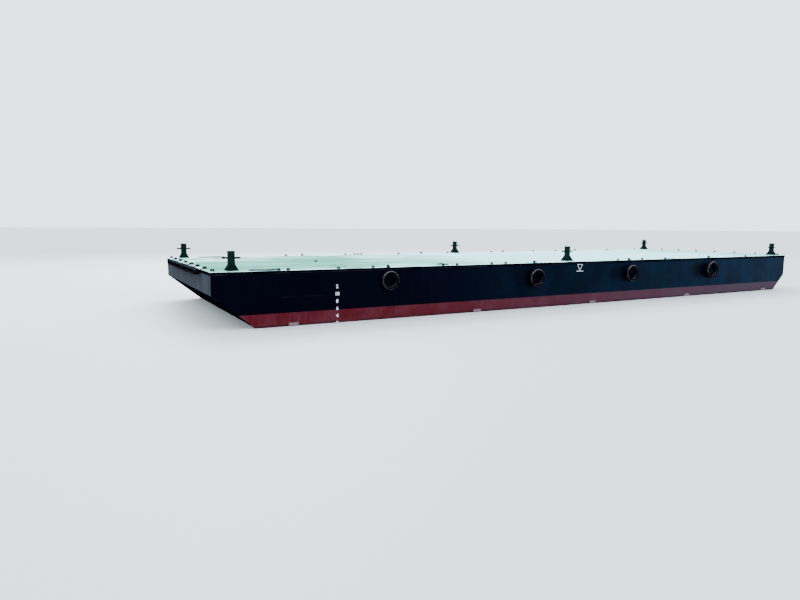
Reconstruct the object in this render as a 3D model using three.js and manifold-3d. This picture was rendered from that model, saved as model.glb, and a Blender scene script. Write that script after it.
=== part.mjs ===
// River deck barge: a shallow steel box hull with a raked bow and stern and a flush deck.
// It carries mooring bollards, lashing lugs, mooring ropes, and old tyres hung over the sides and
// bow as fenders.
// Millimetres. +X to the bow, +Y to port, +Z up. The origin is under the middle of the whole
// object, on the plane of the flat bottom.

import * as THREE from 'three';
import { mergeVertices } from 'three/addons/utils/BufferGeometryUtils.js';
import Module from 'manifold-3d';

const wasm = await Module();
wasm.setup();

// Hull, driving dimensions
const LENGTH = 24400;
const BEAM = 7400;
const DEPTH = 1720;
const PLATE = 12;
const BOW_KNUCKLE = 1130;
const BOW_RAKE = 1400;
const STERN_KNUCKLE = 885;
const STERN_RAKE = 980;
const BOOT_LINE = 608;

// Rub rails under the deck edge
const RAIL_PROUD = 20;
const RAIL_HEIGHT = 70;
const RAIL_CHAMFER = 8;

// Gap between pieces that touch on sloped or cut faces
const GAP = 0.3;

// Flat sides that stand for a round
const ROPE_SIDES = 8;
const EYE_SIDES = 6;
const EYE_STEPS = 14;
const KNOT_SIDES = 10;
const PIN_SIDES = 12;
const POST_SIDES = 20;
const TYRE_SIDES = 24;
const COVER_SIDES = 24;
const HOLE_STEPS = 5;
const OVAL_STEPS = 6;

// Side tyres: a worn tyre's section, as shares of its outer radius. The tread and bead widths are
// measured over the outside of the section
const WIDEST_RADIUS_SHARE = 0.8;
const BEAD_RADIUS_SHARE = 0.65;
const WIDTH_SHARE = 0.56;
const TREAD_WIDTH_SHARE = 0.4;
const BEAD_WIDTH_SHARE = 0.36;
const WALL_SHARE = 0.06;
const TYRE_STANDOFF = 5;

// Slings and the lugs that carry them. The lead is where a sling turns down to its tyre
const ROPE_RADIUS = 10;
const ROPE_HOLE_RADIUS = 12;
const ROPE_STEPS = 10;
const LEAD_HEIGHT = 50;
const LEAD_STRAIGHT = 24;
const LEAD_OFFSET = 12;
const PIN_RADIUS = 10;
const PIN_INSET = 70;
const PIN_HEIGHT = 50;
const EYE_RADIUS = 20.8;
const LUG_BASE = 10;
const LUG_BASE_MARGIN = 20;
const CHEEK_THICK = 10;
const CHEEK_GAP = 34;
const CHEEK_FOOT = 60;
const CHEEK_HEAD = 42;
const CHEEK_OVER_PIN = 24;
const KNOT_RADIUS = 24;
const KNOT_HEIGHT = 30;

// Bow tyres, pulled into flat ovals between the bow lugs
const OVAL_LENGTH = 900;
const OVAL_HEIGHT = 165;
const OVAL_DEPTH = 160;
const OVAL_WALL = 62;
const OVAL_EDGE = 22;
const OVAL_OVER_DECK = 30;

// Bow and stern lug bars. The bow tyres lie between the middle lugs
const BAR_LUGS = 8;
const BAR_INSET = 100;
const BAR_WIDTH = 120;
const BAR_THICK = 10;
const BAR_END = 60;
const LUG_LENGTH = 110;
const LUG_HEIGHT = 70;
const LUG_THICK = 20;
const LUG_EYE = 15;
const LUG_SPACING = 986;
const BOW_TYRES = 5;

// Bollards
const POST_RADIUS = 97;
const POST_HEIGHT = 515;
const CAP_RADIUS = 102;
const CAP_THICK = 20;
const CROSSBAR_RADIUS = 25;
const CROSSBAR_LENGTH = 460;
const CROSSBAR_HEIGHT = 340;
const FOOT_SIZE = 310;
const FOOT_THICK = 12;
const GUSSET_REACH = 210;
const GUSSET_HEIGHT = 200;
const GUSSET_THICK = 14;
const GUSSET_TOE = 25;
const BOLLARD_INSET = 290;

// The clear middle of the deck, for cargo, is a plate of its own
const CARGO_HALF_BEAM = 2200;
const CARGO_END_INSET = 800;

// Manhole covers and skegs
const COVER_RADIUS = 260;
const COVER_THICK = 18;
const SKEG_Y = 2200;
const SKEG_THICK = 40;
const SKEG_AFT = 150;
const SKEG_FORE = 880;

// Stations are distances aft of the bow transom. side: 1 is port. The posts of a pair stand a little
// out of line
const BOLLARDS = [
  { name: 'port_bow_bollard', station: 580, side: 1 },
  { name: 'starboard_bow_bollard', station: 505, side: -1 },
  { name: 'port_middle_bollard', station: 11945, side: 1 },
  { name: 'starboard_middle_bollard', station: 11885, side: -1 },
  { name: 'port_stern_bollard', station: 23890, side: 1 },
  { name: 'starboard_stern_bollard', station: 24045, side: -1 },
];

// One manhole to each of the two tanks. inset: from the side plating
const MANHOLES = [
  { name: 'bow_manhole_cover', station: 3760, side: 1, inset: 950 },
  { name: 'stern_manhole_cover', station: 20600, side: -1, inset: 950 },
];

// Tyres of several sizes. centre: height of the tyre's centre above the flat bottom
const SIDE_TYRES = [
  { station: 4925, centre: 1357, radius: 270 },
  { station: 10305, centre: 1237, radius: 295 },
  { station: 14735, centre: 1255, radius: 295 },
  { station: 19270, centre: 1245, radius: 330 },
];

// A sling's way over the deck's edge. out: beyond the side plating; drop: below the pin
const SLING_OVER_EDGE = [
  { out: 0, drop: 5 },
  { out: 32, drop: 24 },
  { out: 48, drop: 56 },
];

// Mooring ropes that lie loose on the deck, each from beside a lug to its free end
const MOORING_ROPE_RADIUS = 18;
const MOORING_ROPE_STEP = 65;

// route: [station, inset from the side plating]
const MOORING_ROPES = [
  {
    name: 'port_bow_rope',
    side: 1,
    route: [
      [1760, 190], [1690, 150], [1600, 112], [1490, 92], [1370, 88], [1250, 96], [1150, 118],
      [1060, 160], [1015, 220], [1040, 285], [1120, 315], [1225, 300], [1330, 268], [1440, 258],
      [1550, 282], [1650, 320], [1735, 372], [1800, 440],
    ],
  },
  {
    name: 'port_side_rope',
    side: 1,
    route: [
      [6800, 140], [6850, 195], [6930, 230], [7020, 235], [7090, 275], [7105, 345], [7050, 395],
      [6965, 400], [6885, 420], [6850, 490], [6885, 565], [6965, 590], [7050, 575], [7120, 600],
      [7140, 670], [7100, 740],
    ],
  },
  {
    name: 'starboard_bow_rope',
    side: -1,
    route: [
      [1930, 160], [1870, 195], [1790, 205], [1710, 180], [1640, 140], [1560, 118], [1470, 130],
      [1390, 170], [1310, 205], [1225, 200], [1150, 165], [1080, 150], [1010, 175],
    ],
  },
];

// The middle of the whole object lies aft of the middle of the hull's length by this shift's size,
// because the bow tyres stand further out than the stern rail
const SHIFT = -(OVAL_DEPTH) / 2;
const BOW = LENGTH / 2 + SHIFT;
const STERN = -LENGTH / 2 + SHIFT;
const SIDE = BEAM / 2;
const SHELL_TOP = DEPTH - PLATE;
const atStation = (station) => BOW - station;

const finish = (hex, roughness, metalness) =>
  new THREE.MeshStandardMaterial({ color: hex, roughness, metalness });
const NAVY = finish(0x0b1426, 0.25, 0.0);
const RED = finish(0x9c3a44, 0.5, 0.0);
const DECK_GREEN = finish(0xb4d6c6, 0.55, 0.0);
const DARK_GREEN = finish(0x14493a, 0.45, 0.0);
const RUBBER = finish(0x1d1b1e, 0.8, 0.0);
const ROPE = finish(0x5d5a50, 0.95, 0.0);

const barge = new THREE.Group();

function add(name, geometry, material) {
  const mesh = new THREE.Mesh(geometry, material);
  mesh.name = name;
  barge.add(mesh);
  return mesh;
}

// An outline of [x, z] points, run across the hull from yLow to yHigh
function prismAcross(outline, yLow, yHigh, holes = []) {
  const shape = new THREE.Shape(outline.map(([x, z]) => new THREE.Vector2(x, z)));
  shape.holes.push(...holes);
  const geometry = new THREE.ExtrudeGeometry(shape, {
    depth: yHigh - yLow, curveSegments: HOLE_STEPS, bevelEnabled: false });
  const turn = new THREE.Matrix4().makeBasis(
    new THREE.Vector3(1, 0, 0), new THREE.Vector3(0, 0, 1), new THREE.Vector3(0, -1, 0));
  turn.setPosition(0, yHigh, 0);
  return geometry.applyMatrix4(turn);
}

// An outline of [y, z] points, run along the hull from xLow to xHigh
function prismAlong(outline, xLow, xHigh) {
  const shape = new THREE.Shape(outline.map(([y, z]) => new THREE.Vector2(y, z)));
  const geometry = new THREE.ExtrudeGeometry(shape, { depth: xHigh - xLow, bevelEnabled: false });
  const turn = new THREE.Matrix4().makeBasis(
    new THREE.Vector3(0, 1, 0), new THREE.Vector3(0, 0, 1), new THREE.Vector3(1, 0, 0));
  turn.setPosition(xLow, 0, 0);
  return geometry.applyMatrix4(turn);
}

function box(low, high) {
  const size = high.map((value, i) => value - low[i]);
  return new THREE.BoxGeometry(...size).translate(...low.map((value, i) => value + size[i] / 2));
}

function toSolid(geometry) {
  const bare = geometry.clone();
  bare.deleteAttribute('normal');
  bare.deleteAttribute('uv');
  const merged = mergeVertices(bare, 1e-4);
  return new wasm.Manifold(new wasm.Mesh({
    numProp: 3,
    vertProperties: new Float32Array(merged.attributes.position.array),
    triVerts: new Uint32Array(merged.index.array),
  }));
}

function toGeometry(solid) {
  const mesh = solid.getMesh();
  const corners = new Float32Array(mesh.vertProperties);
  const geometry = new THREE.BufferGeometry();
  geometry.setAttribute('position', new THREE.BufferAttribute(corners, 3));
  geometry.setIndex(new THREE.BufferAttribute(new Uint32Array(mesh.triVerts), 1));
  geometry.computeVertexNormals();
  return geometry;
}

const joined = (geometries) => geometries.map(toSolid).reduce((sum, next) => sum.add(next));

// Where two lines of the shell's outline meet once both are moved inward by the plate's thickness
function innerCorner(before, corner, after) {
  const inward = (from, to) => {
    const length = Math.hypot(to[0] - from[0], to[1] - from[1]);
    return [-(to[1] - from[1]) / length, (to[0] - from[0]) / length];
  };
  const n1 = inward(before, corner);
  const n2 = inward(corner, after);
  const scale = PLATE / (1 + n1[0] * n2[0] + n1[1] * n2[1]);
  return [corner[0] + (n1[0] + n2[0]) * scale, corner[1] + (n1[1] + n2[1]) * scale];
}

// Outline of the hull's shell in profile, from the stern's top round the bottom to the bow's top
const OUTLINE = [
  [STERN, SHELL_TOP],
  [STERN, STERN_KNUCKLE],
  [STERN + STERN_RAKE, 0],
  [BOW - BOW_RAKE, 0],
  [BOW, BOW_KNUCKLE],
  [BOW, SHELL_TOP],
];

function rakeAtBoot(knuckle, end, run, inward) {
  return [end + inward * run * (knuckle - BOOT_LINE) / knuckle, BOOT_LINE];
}

function shell() {
  const last = OUTLINE.length - 1;
  const inner = OUTLINE.map((corner, i) => {
    if (i === 0) return [STERN + PLATE, SHELL_TOP];
    if (i === last) return [BOW - PLATE, SHELL_TOP];
    return innerCorner(OUTLINE[i - 1], corner, OUTLINE[i + 1]);
  });
  const strips = [
    ['stern_transom', NAVY],
    ['stern_rake_plate', NAVY],
    ['bottom_plate', RED],
    ['bow_rake_plate', NAVY],
    ['bow_transom', NAVY],
  ];
  const inside = SIDE - PLATE;
  strips.forEach(([name, material], i) => {
    const outline = [OUTLINE[i], OUTLINE[i + 1], inner[i + 1], inner[i]];
    add(name, prismAcross(outline, -inside, inside), material);
  });
}

const rectangle = (Target, xLow, xHigh, halfBeam) => new Target([
  new THREE.Vector2(xLow, -halfBeam),
  new THREE.Vector2(xHigh, -halfBeam),
  new THREE.Vector2(xHigh, halfBeam),
  new THREE.Vector2(xLow, halfBeam),
]);

// A plate that runs round the deck's edge, and the cargo plate that fills its middle
function deck() {
  const cargo = [STERN + CARGO_END_INSET, BOW - CARGO_END_INSET, CARGO_HALF_BEAM];
  const margin = rectangle(THREE.Shape, STERN, BOW, SIDE);
  margin.holes.push(rectangle(THREE.Path, ...cargo));
  for (const [name, shape] of [
    ['deck_margin', margin],
    ['cargo_deck', rectangle(THREE.Shape, ...cargo)],
  ]) {
    const plate = new THREE.ExtrudeGeometry(shape, { depth: PLATE, bevelEnabled: false });
    add(name, plate.translate(0, 0, SHELL_TOP), DECK_GREEN);
  }
}

function sides() {
  const sternBoot = rakeAtBoot(STERN_KNUCKLE, STERN, STERN_RAKE, 1);
  const bowBoot = rakeAtBoot(BOW_KNUCKLE, BOW, BOW_RAKE, -1);
  const upper = [OUTLINE[0], OUTLINE[1], sternBoot, bowBoot, OUTLINE[4], OUTLINE[5]];
  const lower = [sternBoot, OUTLINE[2], OUTLINE[3], bowBoot];
  for (const [side, sign] of [['port', 1], ['starboard', -1]]) {
    const yLow = sign > 0 ? SIDE - PLATE : -SIDE;
    add(`${side}_side_upper`, prismAcross(upper, yLow, yLow + PLATE), NAVY);
    add(`${side}_side_lower`, prismAcross(lower, yLow, yLow + PLATE), RED);
  }
}

function rails() {
  const low = SHELL_TOP - RAIL_HEIGHT;
  const section = (face, sign) => [
    [face, low],
    [face + sign * RAIL_PROUD, low + RAIL_CHAMFER],
    [face + sign * RAIL_PROUD, SHELL_TOP - RAIL_CHAMFER],
    [face, SHELL_TOP],
  ];
  add('port_rub_rail', prismAlong(section(SIDE, 1), STERN, BOW), NAVY);
  add('starboard_rub_rail', prismAlong(section(-SIDE, -1), STERN, BOW), NAVY);
  const reach = SIDE + RAIL_PROUD;
  add('bow_rub_rail', prismAcross(section(BOW, 1), -reach, reach), NAVY);
  add('stern_rub_rail', prismAcross(section(STERN, -1), -reach, reach), NAVY);
}

// A flat bar across the deck near each end, carrying lashing lugs that stand fore and aft
function lugBar(name, x) {
  const half = (BAR_LUGS - 1) * LUG_SPACING / 2 + BAR_END;
  const bar = box([x - BAR_WIDTH / 2, -half, DEPTH], [x + BAR_WIDTH / 2, half, DEPTH + BAR_THICK]);
  const low = DEPTH + BAR_THICK / 2;
  const top = DEPTH + BAR_THICK + LUG_HEIGHT;
  const shoulder = LUG_HEIGHT / 2;
  const outline = [
    [x - LUG_LENGTH / 2, low],
    [x + LUG_LENGTH / 2, low],
    [x + LUG_LENGTH / 2, top - shoulder],
    [x + LUG_LENGTH / 2 - shoulder, top],
    [x - LUG_LENGTH / 2 + shoulder, top],
    [x - LUG_LENGTH / 2, top - shoulder],
  ];
  const eye = new THREE.Path().absarc(x, top - LUG_HEIGHT / 2, LUG_EYE, 0, 2 * Math.PI, true);
  const lugs = [];
  for (let i = 0; i < BAR_LUGS; i++) {
    const y = (i - (BAR_LUGS - 1) / 2) * LUG_SPACING;
    lugs.push(prismAcross(outline, y - LUG_THICK / 2, y + LUG_THICK / 2, [eye]));
  }
  add(name, toGeometry(joined([bar, ...lugs])), DARK_GREEN);
}

// A round post with a cap and a crossbar, on a square foot plate, stayed by four diagonal gussets
function bollard(name, x, y) {
  const foot = DEPTH + FOOT_THICK;
  const upright = (radius, low, high) =>
    new THREE.CylinderGeometry(radius, radius, high - low, POST_SIDES)
      .rotateX(Math.PI / 2).translate(x, y, (low + high) / 2);
  const capLow = DEPTH + POST_HEIGHT - CAP_THICK;
  const post = upright(POST_RADIUS, DEPTH, capLow + CAP_THICK / 2);
  const cap = upright(CAP_RADIUS, capLow, DEPTH + POST_HEIGHT);
  const crossbar = new THREE.CylinderGeometry(
    CROSSBAR_RADIUS, CROSSBAR_RADIUS, CROSSBAR_LENGTH, PIN_SIDES)
    .rotateZ(Math.PI / 2).translate(x, y, DEPTH + CROSSBAR_HEIGHT);
  const half = FOOT_SIZE / 2;
  const plate = box([x - half, y - half, DEPTH], [x + half, y + half, foot]);
  const inPost = POST_RADIUS - GUSSET_THICK;
  const gussets = [
    [-GUSSET_REACH, foot - FOOT_THICK / 2],
    [GUSSET_REACH, foot - FOOT_THICK / 2],
    [GUSSET_REACH, foot + GUSSET_TOE],
    [inPost, DEPTH + GUSSET_HEIGHT],
    [-inPost, DEPTH + GUSSET_HEIGHT],
    [-GUSSET_REACH, foot + GUSSET_TOE],
  ];
  const pairs = [1, -1].map((turn) => prismAcross(gussets, -GUSSET_THICK / 2, GUSSET_THICK / 2)
    .rotateZ(turn * Math.PI / 4).translate(x, y, 0));
  add(name, toGeometry(joined([plate, ...pairs, post, cap, crossbar])), DARK_GREEN);
}

function bollards() {
  for (const { name, station, side } of BOLLARDS) {
    bollard(name, atStation(station), side * (SIDE - BOLLARD_INSET));
  }
}

// A tyre's open section, revolved: [radius, distance from its middle plane]
function tyreGeometry(radius) {
  const widest = radius * WIDTH_SHARE / 2;
  const tread = radius * TREAD_WIDTH_SHARE / 2;
  const beadWidth = radius * BEAD_WIDTH_SHARE / 2;
  const beadRadius = radius * BEAD_RADIUS_SHARE;
  const wall = radius * WALL_SHARE;
  const section = [
    [beadRadius, -beadWidth],
    [radius * WIDEST_RADIUS_SHARE, -widest],
    [radius, -tread],
    [radius, tread],
    [radius * WIDEST_RADIUS_SHARE, widest],
    [beadRadius, beadWidth],
    [beadRadius, beadWidth - wall],
    [radius - wall, tread - wall / 2],
    [radius - wall, wall / 2 - tread],
    [beadRadius, wall - beadWidth],
    [beadRadius, -beadWidth],
  ];
  const points = section.map(([r, y]) => new THREE.Vector2(r, y));
  return new THREE.LatheGeometry(points, TYRE_SIDES, Math.PI / TYRE_SIDES);
}

// A side tyre and the sling that carries it from the pin of its lug, over the deck's edge
function sideTyre(side, sign, index, { station, centre, radius }) {
  const x = atStation(station);
  const tyreY = SIDE + TYRE_STANDOFF + radius * WIDTH_SHARE / 2;
  const wall = radius * WALL_SHARE;
  const hole = new THREE.CylinderGeometry(
    ROPE_HOLE_RADIUS, ROPE_HOLE_RADIUS, wall * 3, ROPE_SIDES)
    .rotateX(Math.PI / 2).translate(x, sign * tyreY, centre + radius - wall / 2);
  const whole = toSolid(tyreGeometry(radius).translate(x, sign * tyreY, centre));
  add(`${side}_tyre_${index}`, toGeometry(whole.subtract(toSolid(hole))), RUBBER);
  add(`${side}_sling_${index}`, slingGeometry(x, sign, tyreY, centre, radius), ROPE);
  add(`${side}_tyre_lug_${index}`, tyreLugGeometry(x, sign), DARK_GREEN);
}

function slingGeometry(x, sign, tyreY, centre, radius) {
  const pinY = SIDE - PIN_INSET;
  const pinZ = DEPTH + PIN_HEIGHT;
  const tyreTop = centre + radius;
  const innerRadius = radius * (1 - WALL_SHARE);
  const innerTread = centre + innerRadius * Math.cos(Math.PI / TYRE_SIDES);
  const route = [
    [pinY + EYE_RADIUS, pinZ],
    ...SLING_OVER_EDGE.map(({ out, drop }) => [SIDE + out, pinZ - drop]),
    [tyreY - LEAD_OFFSET, tyreTop + LEAD_HEIGHT],
    [tyreY, tyreTop + LEAD_STRAIGHT],
    [tyreY, innerTread - KNOT_HEIGHT / 2],
  ];
  const path = new THREE.CatmullRomCurve3(
    route.map(([y, z]) => new THREE.Vector3(x, sign * y, z)), false, 'centripetal');
  const rope = new THREE.ExtrudeGeometry(ringShape(ROPE_RADIUS), {
    steps: ROPE_STEPS, bevelEnabled: false, extrudePath: path });
  const eye = new THREE.TorusGeometry(EYE_RADIUS, ROPE_RADIUS, EYE_SIDES, EYE_STEPS)
    .rotateY(Math.PI / 2).translate(x, sign * pinY, pinZ);
  const knot = new THREE.CylinderGeometry(KNOT_RADIUS, KNOT_RADIUS, KNOT_HEIGHT, KNOT_SIDES)
    .rotateX(Math.PI / 2).translate(x, sign * tyreY, innerTread - GAP - KNOT_HEIGHT / 2);
  return toGeometry(joined([rope, eye, knot]));
}

function ringShape(radius) {
  const points = [];
  for (let i = 0; i < ROPE_SIDES; i++) {
    const turn = 2 * Math.PI * i / ROPE_SIDES;
    points.push(new THREE.Vector2(radius * Math.cos(turn), radius * Math.sin(turn)));
  }
  return new THREE.Shape(points);
}

// Two cheeks on a base, with a pin between them
function tyreLugGeometry(x, sign) {
  const pinY = sign * (SIDE - PIN_INSET);
  const pinZ = DEPTH + PIN_HEIGHT;
  const reach = CHEEK_GAP / 2 + CHEEK_THICK;
  const halfX = reach + LUG_BASE_MARGIN;
  const halfY = CHEEK_FOOT / 2 + LUG_BASE;
  const base = box(
    [x - halfX, pinY - halfY, DEPTH],
    [x + halfX, pinY + halfY, DEPTH + LUG_BASE]);
  const cheek = [
    [pinY - CHEEK_FOOT / 2, DEPTH + LUG_BASE / 2],
    [pinY + CHEEK_FOOT / 2, DEPTH + LUG_BASE / 2],
    [pinY + CHEEK_HEAD / 2, pinZ + CHEEK_OVER_PIN],
    [pinY - CHEEK_HEAD / 2, pinZ + CHEEK_OVER_PIN],
  ];
  const aft = prismAlong(cheek, x - reach, x - CHEEK_GAP / 2);
  const fore = prismAlong(cheek, x + CHEEK_GAP / 2, x + reach);
  const pin = new THREE.CylinderGeometry(
    PIN_RADIUS, PIN_RADIUS, CHEEK_GAP + CHEEK_THICK, PIN_SIDES)
    .rotateZ(Math.PI / 2).translate(x, pinY, pinZ);
  return toGeometry(joined([base, aft, fore, pin]));
}

function sideTyres() {
  for (const [side, sign] of [['port', 1], ['starboard', -1]]) {
    SIDE_TYRES.forEach((tyre, i) => sideTyre(side, sign, i + 1, tyre));
  }
}

// A stadium outline, long across the hull
function stadium(Target, y, z, length, height) {
  const radius = height / 2;
  const straight = length / 2 - radius;
  const path = new Target();
  path.absarc(y + straight, z, radius, -Math.PI / 2, Math.PI / 2, false);
  path.absarc(y - straight, z, radius, Math.PI / 2, 3 * Math.PI / 2, false);
  path.closePath();
  return path;
}

function bowTyres() {
  const z = DEPTH + OVAL_OVER_DECK - OVAL_HEIGHT / 2;
  const length = OVAL_LENGTH - 2 * OVAL_EDGE;
  const height = OVAL_HEIGHT - 2 * OVAL_EDGE;
  const wall = 2 * (OVAL_WALL - 2 * OVAL_EDGE);
  for (let i = 0; i < BOW_TYRES; i++) {
    const y = ((BOW_TYRES - 1) / 2 - i) * LUG_SPACING;
    const shape = stadium(THREE.Shape, y, z, length, height);
    shape.holes.push(stadium(THREE.Path, y, z, length - wall, height - wall));
    const geometry = new THREE.ExtrudeGeometry(shape, {
      depth: OVAL_DEPTH - 2 * OVAL_EDGE, curveSegments: OVAL_STEPS, bevelEnabled: true,
      bevelThickness: OVAL_EDGE, bevelSize: OVAL_EDGE, bevelSegments: 1 });
    const turn = new THREE.Matrix4().makeBasis(
      new THREE.Vector3(0, 1, 0), new THREE.Vector3(0, 0, 1), new THREE.Vector3(1, 0, 0));
    turn.setPosition(BOW + RAIL_PROUD + OVAL_EDGE, 0, 0);
    add(`bow_tyre_${i + 1}`, geometry.applyMatrix4(turn), RUBBER);
  }
}

function covers() {
  for (const { name, station, side, inset } of MANHOLES) {
    const disc = new THREE.CylinderGeometry(COVER_RADIUS, COVER_RADIUS, COVER_THICK, COVER_SIDES)
      .rotateX(Math.PI / 2)
      .translate(atStation(station), side * (SIDE - inset), DEPTH + COVER_THICK / 2);
    add(name, disc, DECK_GREEN);
  }
}

function mooringRopes() {
  const z = DEPTH + GAP + MOORING_ROPE_RADIUS;
  for (const { name, side, route } of MOORING_ROPES) {
    const path = new THREE.CatmullRomCurve3(
      route.map(([station, inset]) => new THREE.Vector3(atStation(station), side * (SIDE - inset), z)),
      false, 'centripetal');
    const tube = new THREE.ExtrudeGeometry(ringShape(MOORING_ROPE_RADIUS), {
      steps: Math.round(path.getLength() / MOORING_ROPE_STEP),
      bevelEnabled: false,
      extrudePath: path });
    add(name, tube, ROPE);
  }
}

// Upright fins under the stern rake, down to the plane of the flat bottom
function skegs() {
  const rakeHeight = (run) => STERN_KNUCKLE * (STERN_RAKE - run) / STERN_RAKE;
  const outline = [
    [STERN + SKEG_AFT, 0],
    [STERN + SKEG_FORE, 0],
    [STERN + SKEG_FORE, rakeHeight(SKEG_FORE) - 2 * GAP],
    [STERN + SKEG_AFT, rakeHeight(SKEG_AFT) - 2 * GAP],
  ];
  for (const [side, sign] of [['port', 1], ['starboard', -1]]) {
    const y = sign * SKEG_Y;
    add(`${side}_skeg`, prismAcross(outline, y - SKEG_THICK / 2, y + SKEG_THICK / 2), RED);
  }
}

shell();
deck();
sides();
rails();
lugBar('bow_lug_bar', BOW - BAR_INSET);
lugBar('stern_lug_bar', STERN + BAR_INSET);
bollards();
sideTyres();
bowTyres();
covers();
mooringRopes();
skegs();

export default barge;
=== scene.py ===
"""Looks of a river deck barge: painted plating, tyre fenders, ropes and deck fittings.

Metres. +X to the bow, +Y to port, +Z up. A station is a distance aft of the bow transom, and an
inset is a distance inboard from the side plating.
"""

import math

import bpy
import numpy as np
from mathutils import Matrix, Vector


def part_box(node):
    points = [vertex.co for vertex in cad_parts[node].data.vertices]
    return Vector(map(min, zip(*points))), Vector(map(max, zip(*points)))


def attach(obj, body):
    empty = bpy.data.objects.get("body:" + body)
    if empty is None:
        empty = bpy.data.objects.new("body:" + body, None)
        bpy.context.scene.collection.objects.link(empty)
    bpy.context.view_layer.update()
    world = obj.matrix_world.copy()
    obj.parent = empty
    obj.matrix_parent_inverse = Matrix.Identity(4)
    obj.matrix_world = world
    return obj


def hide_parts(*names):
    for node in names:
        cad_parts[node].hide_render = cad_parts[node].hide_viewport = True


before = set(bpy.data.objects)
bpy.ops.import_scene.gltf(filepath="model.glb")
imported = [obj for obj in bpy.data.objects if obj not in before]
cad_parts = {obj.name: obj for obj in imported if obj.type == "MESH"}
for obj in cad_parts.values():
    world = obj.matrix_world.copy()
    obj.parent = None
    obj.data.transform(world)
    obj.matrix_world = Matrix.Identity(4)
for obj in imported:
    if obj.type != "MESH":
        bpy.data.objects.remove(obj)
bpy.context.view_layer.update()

# The hull, read from the frame
hull_low, hull_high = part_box("deck_margin")
STERN, BOW, SIDE, DECK = hull_low.x, hull_high.x, hull_high.y, hull_high.z
BOOT_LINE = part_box("port_side_lower")[1].z
BOW_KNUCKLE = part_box("bow_transom")[0].z
STERN_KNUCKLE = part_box("stern_transom")[0].z
FLAT_STERN, FLAT_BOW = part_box("bottom_plate")[0].x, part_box("bottom_plate")[1].x
PLATE = 0.012
SHELL_TOP = DECK - PLATE
WATERLINE = 0.25
SIDES = (("port", 1), ("starboard", -1))

# The camera, found from the deck's edges, the hull's corners and the bollards in the photograph
CAMERA_PLACE = (15.056, 18.797, 2.8713)
CAMERA_YAW = math.radians(28.568)
CAMERA_PITCH = math.radians(6.974)
CAMERA_ROLL = 0.006
CAMERA_LENS = 27.06
SENSOR_WIDTH = 36.0
SIGHT_REACH = 2000.0

# Studio
FLOOR_REACH = 600.0
SKY_COLOUR = (0.90, 0.96, 1.0, 1.0)
SKY_STRENGTH = 3.0
# name, place, what it points at, width, height, watts
LIGHTS = (
    ("key_over_far_side", (2.0, -26.0, 24.0), (0.0, 0.0, 1.7), 26.0, 14.0, 18000.0),
    ("fill_over_bow", (30.0, -4.0, 18.0), (6.0, 0.0, 1.0), 16.0, 12.0, 3000.0),
)

# Plating. Each dish has its depth, what is added to it, its deepest sag and the seed of its waves
FRAME_SPACING = 0.61
SIDE_DISH = (0.0028, 0.0028, 0.00672, 11)
END_DISH = (0.00364, 0.0028, 0.0084, 23)
DECK_DISH = (0.0035, 0.00245, 0.0077, 5)
SHORT_WAVES = (2.4, 0.9)
LONG_WAVES = (5.1, 1.7)
SIDE_COLUMNS = 420
END_GRID = (14, 150)
DECK_GRID = (110, 360)

# Rub rails, under the deck's edge
RAIL_STEP = 0.09
RAIL_PROUD = 0.02
RAIL_HEIGHT = 0.07
RAIL_EASE = 0.007
RAIL_KNOCK = 0.0012
RAIL_WAVES = (1.9, 0.6)
RAIL_SEED = 41
# The rail face painted lighter, for scuffs and a painted highlight
SCUFF_AND_HIGHLIGHT_FACE = 3

# Weld seams
SEAM_HEIGHT = 1.02
SEAM_RUNS = ((0.35, 1.75), (3.55, 24.2))
# A run of side seam painted lighter, for wear and a painted highlight
HIGHLIT_SEAM_RUN = (1.75, 3.12)
SEAM_STATIONS = (5.8, 11.9, 17.5)
SEAM_TOP = SHELL_TOP - 0.075
CORNER_FOOT = 0.01
DECK_SEAM_LINES = (-2.2, 0.0, 2.2)
DECK_SEAM_STATIONS = (0.8, 6.1, 12.2, 18.3, 23.6)
WELD_RIPPLE = 0.03
SIDE_WELD, WORN_WELD, DECK_WELD = 0.0035, 0.006, 0.002

# Bollards
POST_RADIUS, CAP_RADIUS, CAP_THICK, CAP_EASE = 0.097, 0.102, 0.02, 0.003
CROSSBAR_RADIUS, CROSSBAR_HEIGHT = 0.025, 0.34
FOOT_HALF, FOOT_THICK = 0.155, 0.012
GUSSET_REACH, GUSSET_HEIGHT, GUSSET_TOE, GUSSET_THICK, GUSSET_SUNK = 0.21, 0.2, 0.025, 0.014, 0.014
FOOT_WELD, BAR_WELD = 0.007, 0.005
POST_BEVEL, LUG_BEVEL, ANODE_BEVEL = 0.0015, 0.001, 0.01

# Plate lugs: length, height, shoulder, foot below the plate, eye's height, eye's radius, thickness
ROW_LUG = (0.11, 0.07, 0.035, 0.002, 0.035, 0.0135, 0.02)
SIDE_LUG = (0.09, 0.06, 0.03, 0.003, 0.034, 0.011, 0.018)
LUGS_IN_ROW = 8
LUG_SPACING = 0.986
LUG_BAR_THICK = 0.01
PORT_LUGS = (1.75, 2.00, 3.42, 4.47, 6.80, 7.30, 8.60, 9.15, 14.20, 15.46, 16.72, 21.72)
STARBOARD_LUGS = (4.27, 6.74, 7.15, 7.30, 7.45, 9.17, 11.65, 14.05, 16.55, 17.97, 21.50, 23.55)
SIDE_LUG_INSET = 0.09

# Tyre lugs and slings
CHEEK = ((-0.03, 0.005), (0.03, 0.005), (0.024, 0.062), (0.014, 0.074), (-0.014, 0.074), (-0.024, 0.062))
CHEEK_OFFSET, CHEEK_THICK = 0.022, 0.01
TYRE_LUG_BASE = 0.01
PIN_RADIUS, PIN_LENGTH, PIN_INSET, PIN_HEIGHT = 0.01, 0.072, 0.07, 0.05
SLING_RADIUS = 0.010
SLING_PITCH = 0.05
EYE_RADIUS = 0.0208

# Side tyres. The frame's own have flat sides for a round, so their boxes fall short of their radius
TYRES_A_SIDE = 4
TYRE_SIDES = 24
TYRE_WALL_SHARE = 0.06
TYRE_STEPS = 96
SHOULDER_CUT = 0.016

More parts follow.
